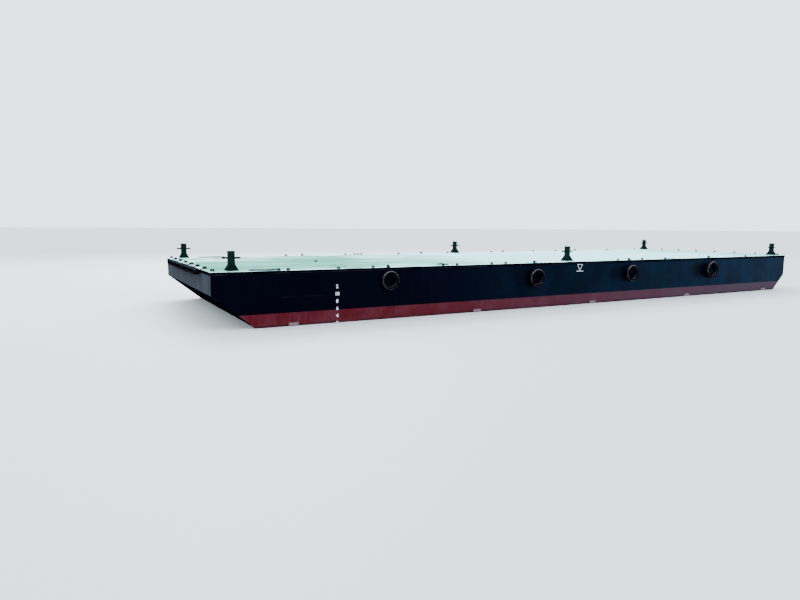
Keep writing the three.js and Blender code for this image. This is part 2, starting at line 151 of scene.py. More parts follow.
# Bow tyres and their lashings
BOW_TYRES = 5
BEAD_DEPTH = 0.055
END_STEPS = 14
BOW_TYRE_CUT = 0.005
LASH_RADIUS = 0.0105
LASH_PITCH = 0.04

# Mooring ropes: (station, inset) points, the same route as the frame's own tubes
MOORING_ROPE_RADIUS = 0.018
MOORING_ROPE_PITCH = 0.075
MOORING_ROPE_LIFT = 0.0003
MOORING_ROPES = {
    "port_bow_rope": (1, (
        (1.760, 0.190), (1.690, 0.150), (1.600, 0.112), (1.490, 0.092), (1.370, 0.088),
        (1.250, 0.096), (1.150, 0.118), (1.060, 0.160), (1.015, 0.220), (1.040, 0.285),
        (1.120, 0.315), (1.225, 0.300), (1.330, 0.268), (1.440, 0.258), (1.550, 0.282),
        (1.650, 0.320), (1.735, 0.372), (1.800, 0.440))),
    "port_side_rope": (1, (
        (6.800, 0.140), (6.850, 0.195), (6.930, 0.230), (7.020, 0.235), (7.090, 0.275),
        (7.105, 0.345), (7.050, 0.395), (6.965, 0.400), (6.885, 0.420), (6.850, 0.490),
        (6.885, 0.565), (6.965, 0.590), (7.050, 0.575), (7.120, 0.600), (7.140, 0.670),
        (7.100, 0.740))),
    "starboard_bow_rope": (-1, (
        (1.930, 0.160), (1.870, 0.195), (1.790, 0.205), (1.710, 0.180), (1.640, 0.140),
        (1.560, 0.118), (1.470, 0.130), (1.390, 0.170), (1.310, 0.205), (1.225, 0.200),
        (1.150, 0.165), (1.080, 0.150), (1.010, 0.175))),
}

# Manhole covers. The handle has (along, rise) points
COVER_BOLTS = 16
COVER_BOLT_INSET = 0.035
COVER_BOLT = ((0, 0), (0.011, 0), (0.011, 0.007), (0.009, 0.009), (0, 0.009))
HANDLE = ((-0.05, -0.003), (-0.05, 0.02), (-0.035, 0.03), (0.035, 0.03), (0.05, 0.02), (0.05, -0.003))
HANDLE_OFFSET = 0.1
HANDLE_RADIUS = 0.006

# The sounding pipe's cap: (radius, height) points
CAP_STATION, CAP_INSET, CAP_SUNK = 3.97, 3.3, 0.004
CAP_PROFILE = ((0, 0.0), (0.03, 0.0), (0.03, 0.03), (0.048, 0.032), (0.05, 0.035), (0.05, 0.044),
               (0.044, 0.052), (0.026, 0.057), (0, 0.058))

# The bent rod: (station, inset, rise) points
ROD_ROUTE = ((16.70, 0.10, 0.045), (16.74, 0.13, 0.030), (16.85, 0.16, 0.012), (17.02, 0.17, 0.010),
             (17.20, 0.15, 0.010), (17.30, 0.12, 0.010))
ROD_RADIUS = 0.010

# Anodes
ANODE_STATIONS = (2.09, 8.0, 12.92, 17.95, 22.95)
ANODE_HALF, ANODE_LOW, ANODE_HIGH, ANODE_PROUD, ANODE_SUNK = 0.135, 0.205, 0.345, 0.035, 0.008

# Painted marks. Draft figures with the height of their feet, and the freeboard mark's triangle
DRAFT_FIGURES = (("2", 1.2), ("10", 1.0), ("8", 0.8), ("6", 0.6), ("4", 0.4), ("2", 0.2))
FIGURE_STATION, FIGURE_SIZE, FIGURE_BOLD = 3.34, 0.132, 0.003
FREEBOARD_STATION, FREEBOARD_TIP, FREEBOARD_TOP = 12.28, 1.412, 1.622
FREEBOARD_HALF, FREEBOARD_BAR, STROKE = 0.112, 0.165, 0.014
MARK_PROUD, MARK_SUNK = 0.0012, 0.002

# Dark patches on the side beside the tyres: station, height, reach along the side, amount
TYRE_SIDE_PATCHES = ((4.75, 1.25, 0.55, 0.8), (10.0, 1.22, 0.6, 0.7),
             (14.25, 1.25, 0.65, 0.85), (18.72, 1.25, 0.70, 0.95))

# Paints
NAVY = (0.0001, 0.0001, 0.0028)
# Painted sheen: the navy turns lighter toward the stern, for the sky reflected where the side is seen more
# edge-on
NAVY_AFT = (0.0014, 0.0093, 0.0232)
SALT = (0.006, 0.014, 0.026)
# Painted shade: a darker navy without sheen, for the rake plates, the deck plate's edge and the rub rails
SHADED_NAVY = (0.0002, 0.0004, 0.0016)
# Darker navy for the patches beside the tyres, also the dark tone of the scuff paint
DEEP_NAVY = (0.0002, 0.0008, 0.0034)
# Painted reflection: a grey that stands for the sky reflected in the transom's dark paint
TRANSOM = (0.0300, 0.0350, 0.0430)
TRANSOM_STAIN = (0.0070, 0.0100, 0.0140)
# Lighter paint: scuffs, and a painted highlight on the rub rails and some weld seams
SCUFF_AND_HIGHLIGHT = (0.0075, 0.0080, 0.0120)
RED = (0.0550, 0.0052, 0.0088)
RED_FADED = (0.082, 0.021, 0.032)
# Painted reflection: the red turns lighter and greyer toward the stern
RED_AFT = (0.047, 0.032, 0.049)
SLIME = (0.012, 0.008, 0.009)
MINT = (0.098, 0.300, 0.225)
MINT_CHALK = (0.195, 0.510, 0.480)
# Painted sheen: the deck turns near white toward the stern, where it is seen most edge-on
MINT_AFT = (0.430, 0.880, 0.950)
BLEACHED = (0.600, 0.920, 0.950)
DECK_GRIME = (0.10, 0.15, 0.14)
RUST = (0.10, 0.035, 0.014)
FITTING_GREEN = (0.0013, 0.0118, 0.0084)
FITTING_DARK = (0.0008, 0.0060, 0.0046)
LUG_GREEN = (0.0001, 0.0010, 0.0007)
LUG_DARK = (0.0001, 0.0005, 0.0005)
FITTING_DUST = (0.030, 0.052, 0.045)
BARE_STEEL = (0.022, 0.022, 0.022)
MARK_WHITE = (0.66, 0.68, 0.74)
MARK_WORN = (0.38, 0.39, 0.43)
FLOOR_GREY = (0.62, 0.66, 0.70)

# Rubber, rope and zinc
RUBBER = (0.0008, 0.0008, 0.0012)
# For what faces up on the tyres: dusting with a painted highlight
RUBBER_DUST_AND_HIGHLIGHT = (0.012, 0.010, 0.014)
# Lighter rubber at the tyres' shoulders and beads: scuffs with a painted highlight
HIGHLIT_SCUFF_RUBBER = (0.0090, 0.0080, 0.0120)
SCUFF_DUST_AND_HIGHLIGHT = (0.120, 0.105, 0.125)
GRIMY_DUST_AND_HIGHLIGHT = (0.026, 0.032, 0.046)
TAR_DARK = (0.0015, 0.0015, 0.0018)
TAR_LIGHT = (0.008, 0.008, 0.009)
GRIMY_ROPE_DARK = (0.012, 0.012, 0.018)
GRIMY_ROPE_LIGHT = (0.20, 0.20, 0.24)
ZINC = (0.13, 0.095, 0.11)
ZINC_PIT = (0.055, 0.025, 0.03)

# Soft patches (scale, low, high) and fine grain (scale, detail, distance, strength)
WORN_PATCHES, WORN_GRAIN = (2.0, 0.40, 0.65), (80.0, 3.0, 0.0008, 0.4)
ROPE_PATCHES, ROPE_GRAIN = (9.0, 0.35, 0.7), (900.0, 2.0, 0.0006, 0.7)

QUARTER_ABOUT_X = Matrix.Rotation(math.pi / 2, 4, "X")
QUARTER_ABOUT_Y = Matrix.Rotation(math.pi / 2, 4, "Y")


# Shapes

def shaded(mesh):
    """Smooth shading that breaks at sharp corners."""
    mesh.polygons.foreach_set("use_smooth", [True] * len(mesh.polygons))
    mesh.set_sharp_from_angle(angle=math.radians(38))
    return mesh


def linked(name, data):
    """A new object in the scene."""
    made = bpy.data.objects.new(name, data)
    bpy.context.scene.collection.objects.link(made)
    return made


def place(name, mesh, body="barge", slot=None, replaces=(), bevel=0.0):
    """Puts a mesh in the scene as a finished piece that rides on a body."""
    piece = linked(name, mesh)
    if bevel:
        edges = piece.modifiers.new("edges", "BEVEL")
        edges.width = bevel
        edges.segments = 2
        edges.limit_method = "ANGLE"
        edges.angle_limit = math.radians(40)
    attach(piece, body)
    if replaces:
        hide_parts(*replaces)
    return piece


class Shape:
    """Closed bodies gathered into one mesh, each body or face with the number of its material."""

    def __init__(self):
        self.points, self.faces, self.numbers = [], [], []

    def add(self, body, number=0):
        points, faces = body
        start = len(self.points)
        self.points.extend(tuple(p) for p in points)
        self.faces.extend(tuple(start + i for i in face) for face in faces)
        self.numbers.extend(number if isinstance(number, list) else [number] * len(faces))
        return self

    def mesh(self, name, materials=()):
        mesh = bpy.data.meshes.new(name)
        mesh.from_pydata(self.points, [], self.faces)
        for material in materials:
            mesh.materials.append(material)
        mesh.polygons.foreach_set("material_index", self.numbers)
        shaded(mesh).update()
        return mesh

    def place(self, name, materials, **settings):
        """Makes the mesh and places it under the same name."""
        return place(name, self.mesh(name, materials), **settings)


def at(x, y, z):
    return Matrix.Translation((x, y, z))


def moved(body, matrix):
    points, faces = body
    return [matrix @ Vector(p) for p in points], faces


def middle(node):
    """The middle of a node's box, and its size."""
    low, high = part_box(node)
    return (low + high) / 2, high - low


def block(low, high):
    (x0, y0, z0), (x1, y1, z1) = low, high
    points = [(x0, y0, z0), (x1, y0, z0), (x1, y1, z0), (x0, y1, z0),
              (x0, y0, z1), (x1, y0, z1), (x1, y1, z1), (x0, y1, z1)]
    faces = [(3, 2, 1, 0), (4, 5, 6, 7), (0, 1, 5, 4), (1, 2, 6, 5), (2, 3, 7, 6), (3, 0, 4, 7)]
    return points, faces


def prism(outline, thickness):
    """An anticlockwise outline in X and Y, given a thickness about its plane."""
    points = [(x, y, z) for z in (-thickness / 2, thickness / 2) for x, y in outline]
    return points, swept_faces(2, len(outline))


def turned(profile, segments):
    """A profile of (radius, height) points turned about Z, from the axis back to the axis."""
    rows = []
    points = []
    for radius, height in profile:
        if radius == 0:
            rows.append([len(points)] * segments)
            points.append((0.0, 0.0, height))
            continue
        rows.append(list(range(len(points), len(points) + segments)))
        for i in range(segments):
            angle = 2 * math.pi * i / segments
            points.append((radius * math.cos(angle), radius * math.sin(angle), height))
    faces = []
    for lower, upper in zip(rows, rows[1:]):
        for i in range(segments):
            j = (i + 1) % segments
            face = tuple(dict.fromkeys((lower[i], lower[j], upper[j], upper[i])))
            if len(face) > 2:
                faces.append(face)
    return points, faces


def round_bar(radius, length, segments, rim):
    """A bar along X with eased ends."""
    half = length / 2
    profile = [(0, -half), (radius - rim, -half), (radius, rim - half), (radius, half - rim),
               (radius - rim, half), (0, half)]
    return moved(turned(profile, segments), QUARTER_ABOUT_Y)


def swept_faces(rings, count, closed=False):
    """Quads between rings of points that follow one another, with flat ends unless it is closed."""
    faces = []
    for i in range(rings if closed else rings - 1):
        low, high = i * count, (i + 1) % rings * count
        for k in range(count):
            n = (k + 1) % count
            faces.append((low + k, low + n, high + n, high + k))
    if not closed:
        faces.append(tuple(range(count))[::-1])
        faces.append(tuple(range((rings - 1) * count, rings * count)))
    return faces


def smooth_path(points, step):
    """Points about a step apart on a smooth curve through the given ones."""
    given = np.array(points, float)
    padded = np.vstack([2 * given[0] - given[1], given, 2 * given[-1] - given[-2]])
    dense = []
    for before, start, end, after in zip(padded, padded[1:], padded[2:], padded[3:]):
        t = np.linspace(0, 1, 24, endpoint=False)[:, None]
        dense.append(0.5 * (2 * start + (end - before) * t
                            + (2 * before - 5 * start + 4 * end - after) * t ** 2
                            + (3 * start - before - 3 * end + after) * t ** 3))
    line = np.vstack([*dense, given[-1:]])
    along = np.concatenate([[0], np.cumsum(np.linalg.norm(np.diff(line, axis=0), axis=1))])
    places = np.linspace(0, along[-1], max(3, round(along[-1] / step) + 1))
    return np.stack([np.interp(places, along, line[:, axis]) for axis in range(3)], axis=1)


def carried_axes(line, closed=False):
    """Two directions across a line at each of its points, carried along it without twist."""
    if closed:
        ahead = np.roll(line, -1, axis=0) - np.roll(line, 1, axis=0)
    else:
        ahead = np.gradient(line, axis=0)
    ahead /= np.linalg.norm(ahead, axis=1)[:, None]
    first = np.cross(ahead[0], (0.0, 0.0, 1.0))
    if np.linalg.norm(first) < 0.1:
        first = np.cross(ahead[0], (0.0, 1.0, 0.0))
    across = [first / np.linalg.norm(first)]
    for direction in ahead[1:]:
        kept = across[-1] - direction * np.dot(across[-1], direction)
        across.append(kept / np.linalg.norm(kept))
    across = np.array(across)
    return across, np.cross(ahead, across)


def tube(line, radius, sides=8, closed=False):
    """A round tube along a line, with flat ends unless the line closes on itself."""
    across, other = carried_axes(line, closed)
    turn = 2 * np.pi * np.arange(sides) / sides
    rings = line[:, None] + radius * (across[:, None] * np.cos(turn)[None, :, None]
                                      + other[:, None] * np.sin(turn)[None, :, None])
    return rings.reshape(-1, 3), swept_faces(len(line), sides, closed)


def ring_points(radius, count):
    """Points round a circle about Z."""
    turn = np.linspace(0, 2 * math.pi, count, endpoint=False)
    return np.stack([radius * np.cos(turn), radius * np.sin(turn), 0 * turn], axis=1)


def laid_rope(shape, line, radius, pitch):
    """Adds a rope of three twisted strands along a line whose points lie close together."""
    across, other = carried_axes(line)
    along = np.concatenate([[0], np.cumsum(np.linalg.norm(np.diff(line, axis=0), axis=1))])
    for strand in range(3):
        angle = 2 * np.pi * (along / pitch + strand / 3)
        centre = line + 0.5 * radius * (across * np.cos(angle)[:, None] + other * np.sin(angle)[:, None])
        shape.add(tube(centre, 0.5 * radius, 7))


def waves(u, v, sizes, seed):
    """Gentle random waves of the given lengths, from about -1 to 1."""
    chance = np.random.default_rng(seed)
    total = np.zeros(np.broadcast(u, v).shape)
    for size in sizes:
        for _ in range(4):
            angle, phase = chance.uniform(0, 2 * np.pi, 2)
            total += np.sin((u * np.cos(angle) + v * np.sin(angle)) * 2 * np.pi / size + phase)
    return total / (2.4 * math.sqrt(len(sizes)))


def held(distance, reach):
    """How free a plate is at a distance from a held edge: 0 there, and 1 past the reach."""
    return np.clip(distance / reach, 0, 1)


def sag(along, across, dish, free):
    """How far a plate has sunk between its frames, wandering over its length."""
    depth, added, deepest, seed = dish
    between = np.sin(np.pi * along / FRAME_SPACING) ** 2
    sunk = depth * (between * (0.7 + 0.5 * waves(along, across, SHORT_WAVES, seed))
                    + 0.8 * waves(along, across, LONG_WAVES, seed + 1))
    return np.clip((sunk + added) * free, 0.0, deepest)


def plating(outer, normal):
    """A plate whose outer face is a grid of points; the other face is flat and inside it."""
    rows, columns = outer.shape[:2]
    front = outer.reshape(-1, 3)
    base = len(front)
    grid = np.arange(base).reshape(rows, columns)
    edge = [*grid[0], *grid[1:, -1], *grid[-1, -2::-1], *grid[-2:0:-1, 0]]
    inner_level = (front @ normal).max() - PLATE
    back = [front[k] - normal * (front[k] @ normal - inner_level) for k in edge]
    faces = [(a, a + 1, a + columns + 1, a + columns) for a in grid[:-1, :-1].flat]
    count = len(edge)
    for i in range(count):
        j = (i + 1) % count
        faces.append((edge[j], edge[i], base + i, base + j))
    faces.append(tuple(range(base + count - 1, base - 1, -1)))
    first = np.cross(outer[0, 1] - outer[0, 0], outer[1, 0] - outer[0, 0])
    if first @ normal < 0:
        faces = [face[::-1] for face in faces]
    return np.vstack([front, back]), faces


# Node trees

class Wiring:
    """Short ways to add and join the nodes of one tree, whose patterns follow one vector."""

    def __init__(self, tree, where=None):
        self.tree = tree
        self.where = where

    def feed(self, socket, source):
        """Links a source to a socket, or sets its plain value. A colour of three gets its alpha."""
        if isinstance(source, bpy.types.NodeSocket):
            self.tree.links.new(source, socket)
        else:
            socket.default_value = (*source, 1.0) if socket.type == "RGBA" else source

    def node(self, kind, *feeds, named=None, **settings):
        """A new node with its settings, then what feeds its inputs, in order or by their names."""
        made = self.tree.nodes.new(kind)
        for key, value in settings.items():
            setattr(made, key, value)
        for key, source in [*enumerate(feeds), *(named or {}).items()]:
            self.feed(made.inputs[key], source)
        return made

    def math(self, operation, first, second, clamp=False):
        made = self.node("ShaderNodeMath", first, second, operation=operation, use_clamp=clamp)
        return made.outputs[0]

    def times(self, first, second, clamp=False):
        return self.math("MULTIPLY", first, second, clamp)

    def vector_math(self, operation, first, second):
        return self.node("ShaderNodeVectorMath", first, second, operation=operation).outputs

    def split(self, vector):
        return self.node("ShaderNodeSeparateXYZ", vector).outputs

    def spread(self, value, start, end, at_start=0.0, at_end=1.0):
        """Eases from one value to another as the first input goes from start to end."""
        made = self.node("ShaderNodeMapRange", value, start, end, at_start, at_end,
                         interpolation_type="SMOOTHSTEP")
        return made.outputs["Result"]

    def ranged(self, mask, low, high):
        """A mask that goes from low to high in place of 0 to 1."""
        return self.spread(mask, 0.0, 1.0, low, high)

    def blend(self, factor, first, second):
        feeds = {"Factor": factor, "A": first, "B": second}
        return self.node("ShaderNodeMix", named=feeds, data_type="RGBA").outputs["Result"]

    def stretched(self, scale):
        return self.vector_math("MULTIPLY", self.where, scale)[0]

    def noise(self, scale, detail, vector=None, roughness=0.55):
        feeds = {"Vector": vector or self.where, "Scale": scale, "Detail": detail, "Roughness": roughness}
        return self.node("ShaderNodeTexNoise", named=feeds).outputs["Fac"]

    def mask(self, group, vector=None, **values):
        """The mask of one of the shared groups, with its own values."""
        feeds = {"Vector": vector or self.where, **values}
        return self.node("ShaderNodeGroup", named=feeds, node_tree=group).outputs["Mask"]


def mask_group(name, paint, **values):
    """A shader node group with a vector and named values as inputs, and one mask as its output."""
    group = bpy.data.node_groups.new(name, "ShaderNodeTree")
    for label, value in {"Vector": (0.0, 0.0, 0.0), **values}.items():
        kind = "NodeSocketVector" if isinstance(value, tuple) else "NodeSocketFloat"
        group.interface.new_socket(name=label, in_out="INPUT", socket_type=kind).default_value = value
    group.interface.new_socket(name="Mask", in_out="OUTPUT", socket_type="NodeSocketFloat")
    given = group.nodes.new("NodeGroupInput").outputs
    out = group.nodes.new("NodeGroupOutput").inputs
    wiring = Wiring(group, given["Vector"])
    wiring.feed(out["Mask"], paint(wiring, given))
    return group


def mottle(wiring, given):
    """Soft patches: noise of a given size, with its edges between two levels."""
    value = wiring.noise(given["Scale"], given["Detail"], roughness=0.6)
    return wiring.spread(value, given["Low"], given["High"])


def streaks(wiring, given):
    """Runs of dirt down an upright face: narrow along it and long down it."""
    across = wiring.math("DIVIDE", 1.0, given["Width"])
    down = wiring.math("DIVIDE", 1.0, given["Length"])
    scales = wiring.node("ShaderNodeCombineXYZ", across, across, down).outputs[0]
    fine = wiring.noise(1.0, 3.0, wiring.stretched(scales))
    patches = wiring.noise(0.9, 2.0)
    mask = wiring.times(wiring.spread(fine, 0.48, 0.72), wiring.spread(patches, 0.35, 0.6))
    return wiring.times(mask, given["Amount"], True)


def rubbed_edges(wiring, given):
    """Rubbed edges, where the surface turns sharply, broken up by noise."""
    rounded = wiring.node("ShaderNodeBevel", given["Radius"], samples=4)
    surface = wiring.node("ShaderNodeNewGeometry")
    product = wiring.vector_math("DOT_PRODUCT", rounded.outputs["Normal"], surface.outputs["Normal"])
    broken = wiring.spread(wiring.noise(22.0, 5.0), 0.42, 0.62)
    mask = wiring.times(wiring.spread(product["Value"], 0.97, 0.75), broken)
    return wiring.times(mask, given["Amount"], True)


def dust_and_top_highlight(wiring, given):
    """Lighter on what faces up: settled dusting, and on the tyres a painted highlight as well."""
    facing = wiring.split(wiring.node("ShaderNodeNewGeometry").outputs["Normal"])["Z"]
    patchy = wiring.spread(wiring.noise(9.0, 4.0), 0.3, 0.7, 0.35, 1.0)
    mask = wiring.times(wiring.spread(facing, -0.1, 0.9), patchy)
    return wiring.times(mask, given["Amount"], True)


def aft_share(wiring, given):
    """How far aft a place lies, eased between two values of X."""
    return wiring.spread(wiring.split(wiring.where)["X"], given["Start"], given["End"])


def dark_patch(wiring, given):
    """A dark patch on the side, about a middle in X and Z, with a given reach each way."""
    away = wiring.split(wiring.vector_math("SUBTRACT", wiring.where, given["Middle"])[0])
    along = wiring.math("POWER", wiring.math("DIVIDE", away["X"], given["Length"]), 2.0)
    up = wiring.math("POWER", wiring.math("DIVIDE", away["Z"], given["Height"]), 2.0)
    ragged = wiring.math("ADD", wiring.math("ADD", along, up), wiring.noise(5.0, 4.0))
    return wiring.spread(ragged, 1.75, 0.5)


MOTTLE = mask_group("mottle", mottle, Scale=2.0, Low=0.4, High=0.6, Detail=5.0)
STREAKS = mask_group("streaks", streaks, Width=0.08, Length=1.2, Amount=0.5)
EDGES = mask_group("rubbed_edges", rubbed_edges, Radius=0.006, Amount=0.6)
DUST_AND_HIGHLIGHT = mask_group("dust_and_top_highlight", dust_and_top_highlight, Amount=0.6)
AFT = mask_group("aft_share", aft_share, Start=10.0, End=-13.0)
SIDE_PATCH = mask_group("dark_patch_beside_tyre", dark_patch, Middle=(0.0, 0.0, 0.0), Length=0.5, Height=0.35)


# Finishes

class Finish(Wiring):
    """A material in the making. Its patterns follow the object's own coordinates."""

    def __init__(self, name, roughness, specular=0.0):
        self.material = bpy.data.materials.new(name)
        self.material.use_nodes = True
        super().__init__(self.material.node_tree)
        self.where = self.node("ShaderNodeTexCoord").outputs["Object"]
        self.shader = self.tree.nodes["Principled BSDF"].inputs
        self.shader["Roughness"].default_value = roughness
        self.shader["Specular IOR Level"].default_value = specular

    def patches(self, scale, low, high, detail=5.0, vector=None):
        return self.mask(MOTTLE, vector, Scale=scale, Low=low, High=high, Detail=detail)

    def relief(self, height, distance, strength):
        feeds = {"Height": height, "Distance": distance, "Strength": strength}
        self.feed(self.shader["Normal"], self.node("ShaderNodeBump", named=feeds).outputs["Normal"])

    def grain(self, scale, detail, distance, strength):
        self.relief(self.noise(scale, detail), distance, strength)

    def done(self, paint, rough=None):
        self.feed(self.shader["Base Color"], paint)
        if rough is not None:
            self.feed(self.shader["Roughness"], rough)
        return self.material


def painted_steel(name, base, aft, specular=0.0, runs=0.0):
    """Sprayed paint, lighter toward the stern in a painted sheen, with a few runs of salt down it."""
    steel = Finish(name, 0.3, specular)
    patches = steel.patches(0.8, 0.35, 0.75)
    bands = steel.noise(1.0, 2.0, steel.stretched((1.1, 1.1, 0.1)))
    # Painted sheen: lighter toward the stern, in patches and upright bands
    painted_sheen = steel.times(steel.mask(AFT), steel.ranged(patches, 0.7, 1.15))
    painted_sheen = steel.times(painted_sheen, steel.spread(bands, 0.3, 0.7, 0.8, 1.3))
    paint = steel.blend(painted_sheen, base, aft)
    if runs:
        paint = steel.blend(steel.mask(STREAKS, Width=0.05, Length=0.9, Amount=runs), paint, SALT)
        # Darker patches on the side beside the tyres
        for station, height, length, amount in TYRE_SIDE_PATCHES:
            rubbed = steel.mask(SIDE_PATCH, Middle=(BOW - station, 0.0, height), Length=length)
            paint = steel.blend(steel.times(rubbed, amount), paint, DEEP_NAVY)
    steel.grain(45.0, 3.0, 0.0006, 0.35)
    return steel.done(paint, steel.spread(steel.noise(3.0, 5.0), 0.3, 0.75, 0.2, 0.36))


def transom_material():
    """Dull paint whose grey is a painted reflection of the sky, stained in runs below the gaps between the
    bow tyres.
    """
    steel = Finish("transom_paint_with_painted_reflection", 0.5)
    from_middle = steel.math("PINGPONG", steel.split(steel.where)["Y"], LUG_SPACING / 2)
    stained = steel.spread(from_middle, 0.41 * LUG_SPACING, 0.48 * LUG_SPACING, 0.0, 0.5)
    runs = steel.mask(STREAKS, Width=0.09, Length=1.5, Amount=0.8)
    steel.grain(45.0, 3.0, 0.0006, 0.35)
    return steel.done(steel.blend(steel.math("MAXIMUM", stained, runs), TRANSOM, TRANSOM_STAIN))


def antifouling_material():
    """Chalky red paint, with a slimy band at the water."""
    steel = Finish("red_antifouling", 0.5)
    chalky = steel.patches(1.6, 0.35, 0.7)
    paint = steel.blend(steel.times(chalky, 0.55), RED, RED_FADED)
    paint = steel.blend(steel.mask(STREAKS, Width=0.07, Length=0.5, Amount=0.4), paint, RED_FADED)
    # Painted reflection: lighter and greyer toward the stern
    paint = steel.blend(steel.mask(AFT), paint, RED_AFT)
    ragged = steel.times(steel.noise(2.2, 5.0, steel.stretched((1.0, 1.0, 0.2))), -0.12)
    level = steel.math("ADD", steel.split(steel.where)["Z"], ragged)
    wet = steel.spread(level, WATERLINE + 0.01, WATERLINE - 0.05)
    steel.grain(60.0, 4.0, 0.001, 0.5)
    return steel.done(steel.blend(steel.times(wet, 0.8), paint, SLIME), steel.ranged(wet, 0.55, 0.2))


def deck_material():
    """Mint paint: chalky, with bleaching along its edges and at the far bow corner, and near white toward
    the stern in a painted sheen.
    """
    deck = Finish("mint_deck_paint", 0.5)
    chalk = deck.patches(0.75, 0.42, 0.60, 8.0, deck.stretched((0.45, 1.0, 1.0)))
    # Less chalk toward the bow
    from_bow = deck.mask(AFT, Start=BOW, End=BOW - 7.0)
    chalk = deck.times(chalk, deck.ranged(from_bow, 0.35, 1.0))
    paint = deck.blend(chalk, MINT, MINT_CHALK)

    # Painted sheen: the deck turns near white toward the stern, where it is seen most edge-on, a little less
    # so at the very stern
    greener = deck.mask(AFT, Start=-8.0, End=-12.5)
    painted_sheen = deck.math("SUBTRACT", deck.mask(AFT, Start=9.0, End=-0.5), deck.times(greener, 0.4))
    sheen_and_chalk = deck.math("ADD", painted_sheen, deck.ranged(chalk, -0.15, 0.1), True)
    paint = deck.blend(sheen_and_chalk, paint, MINT_AFT)

    x, y, _ = deck.split(deck.where)
    edge = deck.spread(deck.math("ABSOLUTE", y, 0.0), SIDE - 0.50, SIDE - 0.15)
    edge = deck.math("MAXIMUM", edge, deck.spread(x, BOW - 0.22, BOW - 0.08))
    bare = deck.times(deck.times(edge, deck.patches(1.3, 0.32, 0.55)), 0.85)
    corner = deck.times(deck.spread(y, -0.2, -2.2), deck.spread(x, BOW - 4.5, BOW - 2.0))
    sunned = deck.times(deck.times(corner, deck.patches(0.9, 0.38, 0.52)), 0.8)
    paint = deck.blend(deck.math("MAXIMUM", bare, sunned), paint, BLEACHED)

    paint = deck.blend(deck.times(deck.patches(1.7, 0.54, 0.72, 10.0), 0.35), paint, DECK_GRIME)
    paint = deck.blend(deck.times(deck.patches(7.0, 0.70, 0.76, 6.0), 0.8), paint, RUST)
    damp = deck.patches(1.1, 0.50, 0.60, 6.0, deck.stretched((0.5, 1.0, 1.0)))
    deck.grain(120.0, 3.0, 0.0006, 0.4)
    return deck.done(paint, deck.ranged(damp, 0.62, 0.28))


def fitting_material(name, green, dark, dust_and_highlight):
    """Brushed dark paint on the fittings, rubbed at its edges, a little rusty and dusty."""
    steel = Finish(name, 0.35, 0.02)
    patches = steel.patches(6.0, 0.35, 0.7)
    rusty = steel.times(steel.patches(14.0, 0.66, 0.74), 0.3)
    paint = steel.blend(rusty, steel.blend(patches, dark, green), RUST)
    paint = steel.blend(steel.mask(EDGES), paint, BARE_STEEL)
    paint = steel.blend(steel.mask(DUST_AND_HIGHLIGHT, Amount=dust_and_highlight), paint, FITTING_DUST)
    steel.grain(70.0, 4.0, 0.0008, 0.4)
    return steel.done(paint, steel.ranged(patches, 0.3, 0.48))


def rubber_material(name, base, dust_and_highlight, amount):
    """Weathered rubber, lighter on what faces up: grey dusting and a painted highlight."""
    rubber = Finish(name, 0.75)
    # Dusting with a painted highlight on what faces up
    dusty = rubber.mask(DUST_AND_HIGHLIGHT, Amount=amount)
    paint = rubber.blend(rubber.times(rubber.patches(8.0, 0.4, 0.8), 0.4), base, dust_and_highlight)
    rubber.grain(160.0, 4.0, 0.001, 0.6)
    return rubber.done(rubber.blend(dusty, paint, dust_and_highlight), rubber.ranged(dusty, 0.6, 0.9))


def two_tone(name, roughness, first, second, patches, grain):
    """Two colours in soft patches, over a fine grain."""
    finish = Finish(name, roughness)
    finish.grain(*grain)
    return finish.done(finish.blend(finish.patches(*patches), first, second))


def zinc_material():
    """Cast zinc, darker and sunk where it is pitted."""
    zinc = Finish("cast_zinc", 0.6, 0.4)
    pitted = zinc.patches(30.0, 0.4, 0.7)
    zinc.relief(pitted, 0.002, 0.8)
    return zinc.done(zinc.blend(pitted, ZINC, ZINC_PIT))


def mark_material():
    """White paint, worn thin in spots."""
    white = Finish("white_mark_paint", 0.5, 0.3)
    worn = white.times(white.patches(16.0, 0.5, 0.75), 0.5)
    return white.done(white.blend(worn, MARK_WHITE, MARK_WORN))


# Geometry Nodes

def growing_tree(name, grow, **inputs):
    """A Geometry Nodes tree that grows a mesh from the given one, made real and painted."""
    tree = bpy.data.node_groups.new(name, "GeometryNodeTree")
    for label, kind in {"Geometry": "Geometry", **inputs, "Material": "Material"}.items():
        tree.interface.new_socket(name=label, in_out="INPUT", socket_type="NodeSocket" + kind)
    tree.interface.new_socket(name="Geometry", in_out="OUTPUT", socket_type="NodeSocketGeometry")
    given = tree.nodes.new("NodeGroupInput").outputs
    out = tree.nodes.new("NodeGroupOutput").inputs
    wiring = Wiring(tree)
    real = wiring.node("GeometryNodeRealizeInstances", grow(wiring, given))
    feeds = {"Geometry": real.outputs["Geometry"], "Material": given["Material"]}
    painted = wiring.node("GeometryNodeSetMaterial", named=feeds)
    wiring.feed(out["Geometry"], painted.outputs["Geometry"])
    return tree


def copies_on_points(wiring, given):
    """A copy of one part on every point, turned about Z by the point's own turn."""
    part = wiring.node("GeometryNodeObjectInfo", given["Part"])
    turn = wiring.node("GeometryNodeInputNamedAttribute", "turn", data_type="FLOAT")
    angles = wiring.node("ShaderNodeCombineXYZ", 0.0, 0.0, turn.outputs["Attribute"])
    feeds = {"Points": given["Geometry"], "Instance": part.outputs["Geometry"],
             "Rotation": angles.outputs[0]}
    return wiring.node("GeometryNodeInstanceOnPoints", named=feeds).outputs["Instances"]


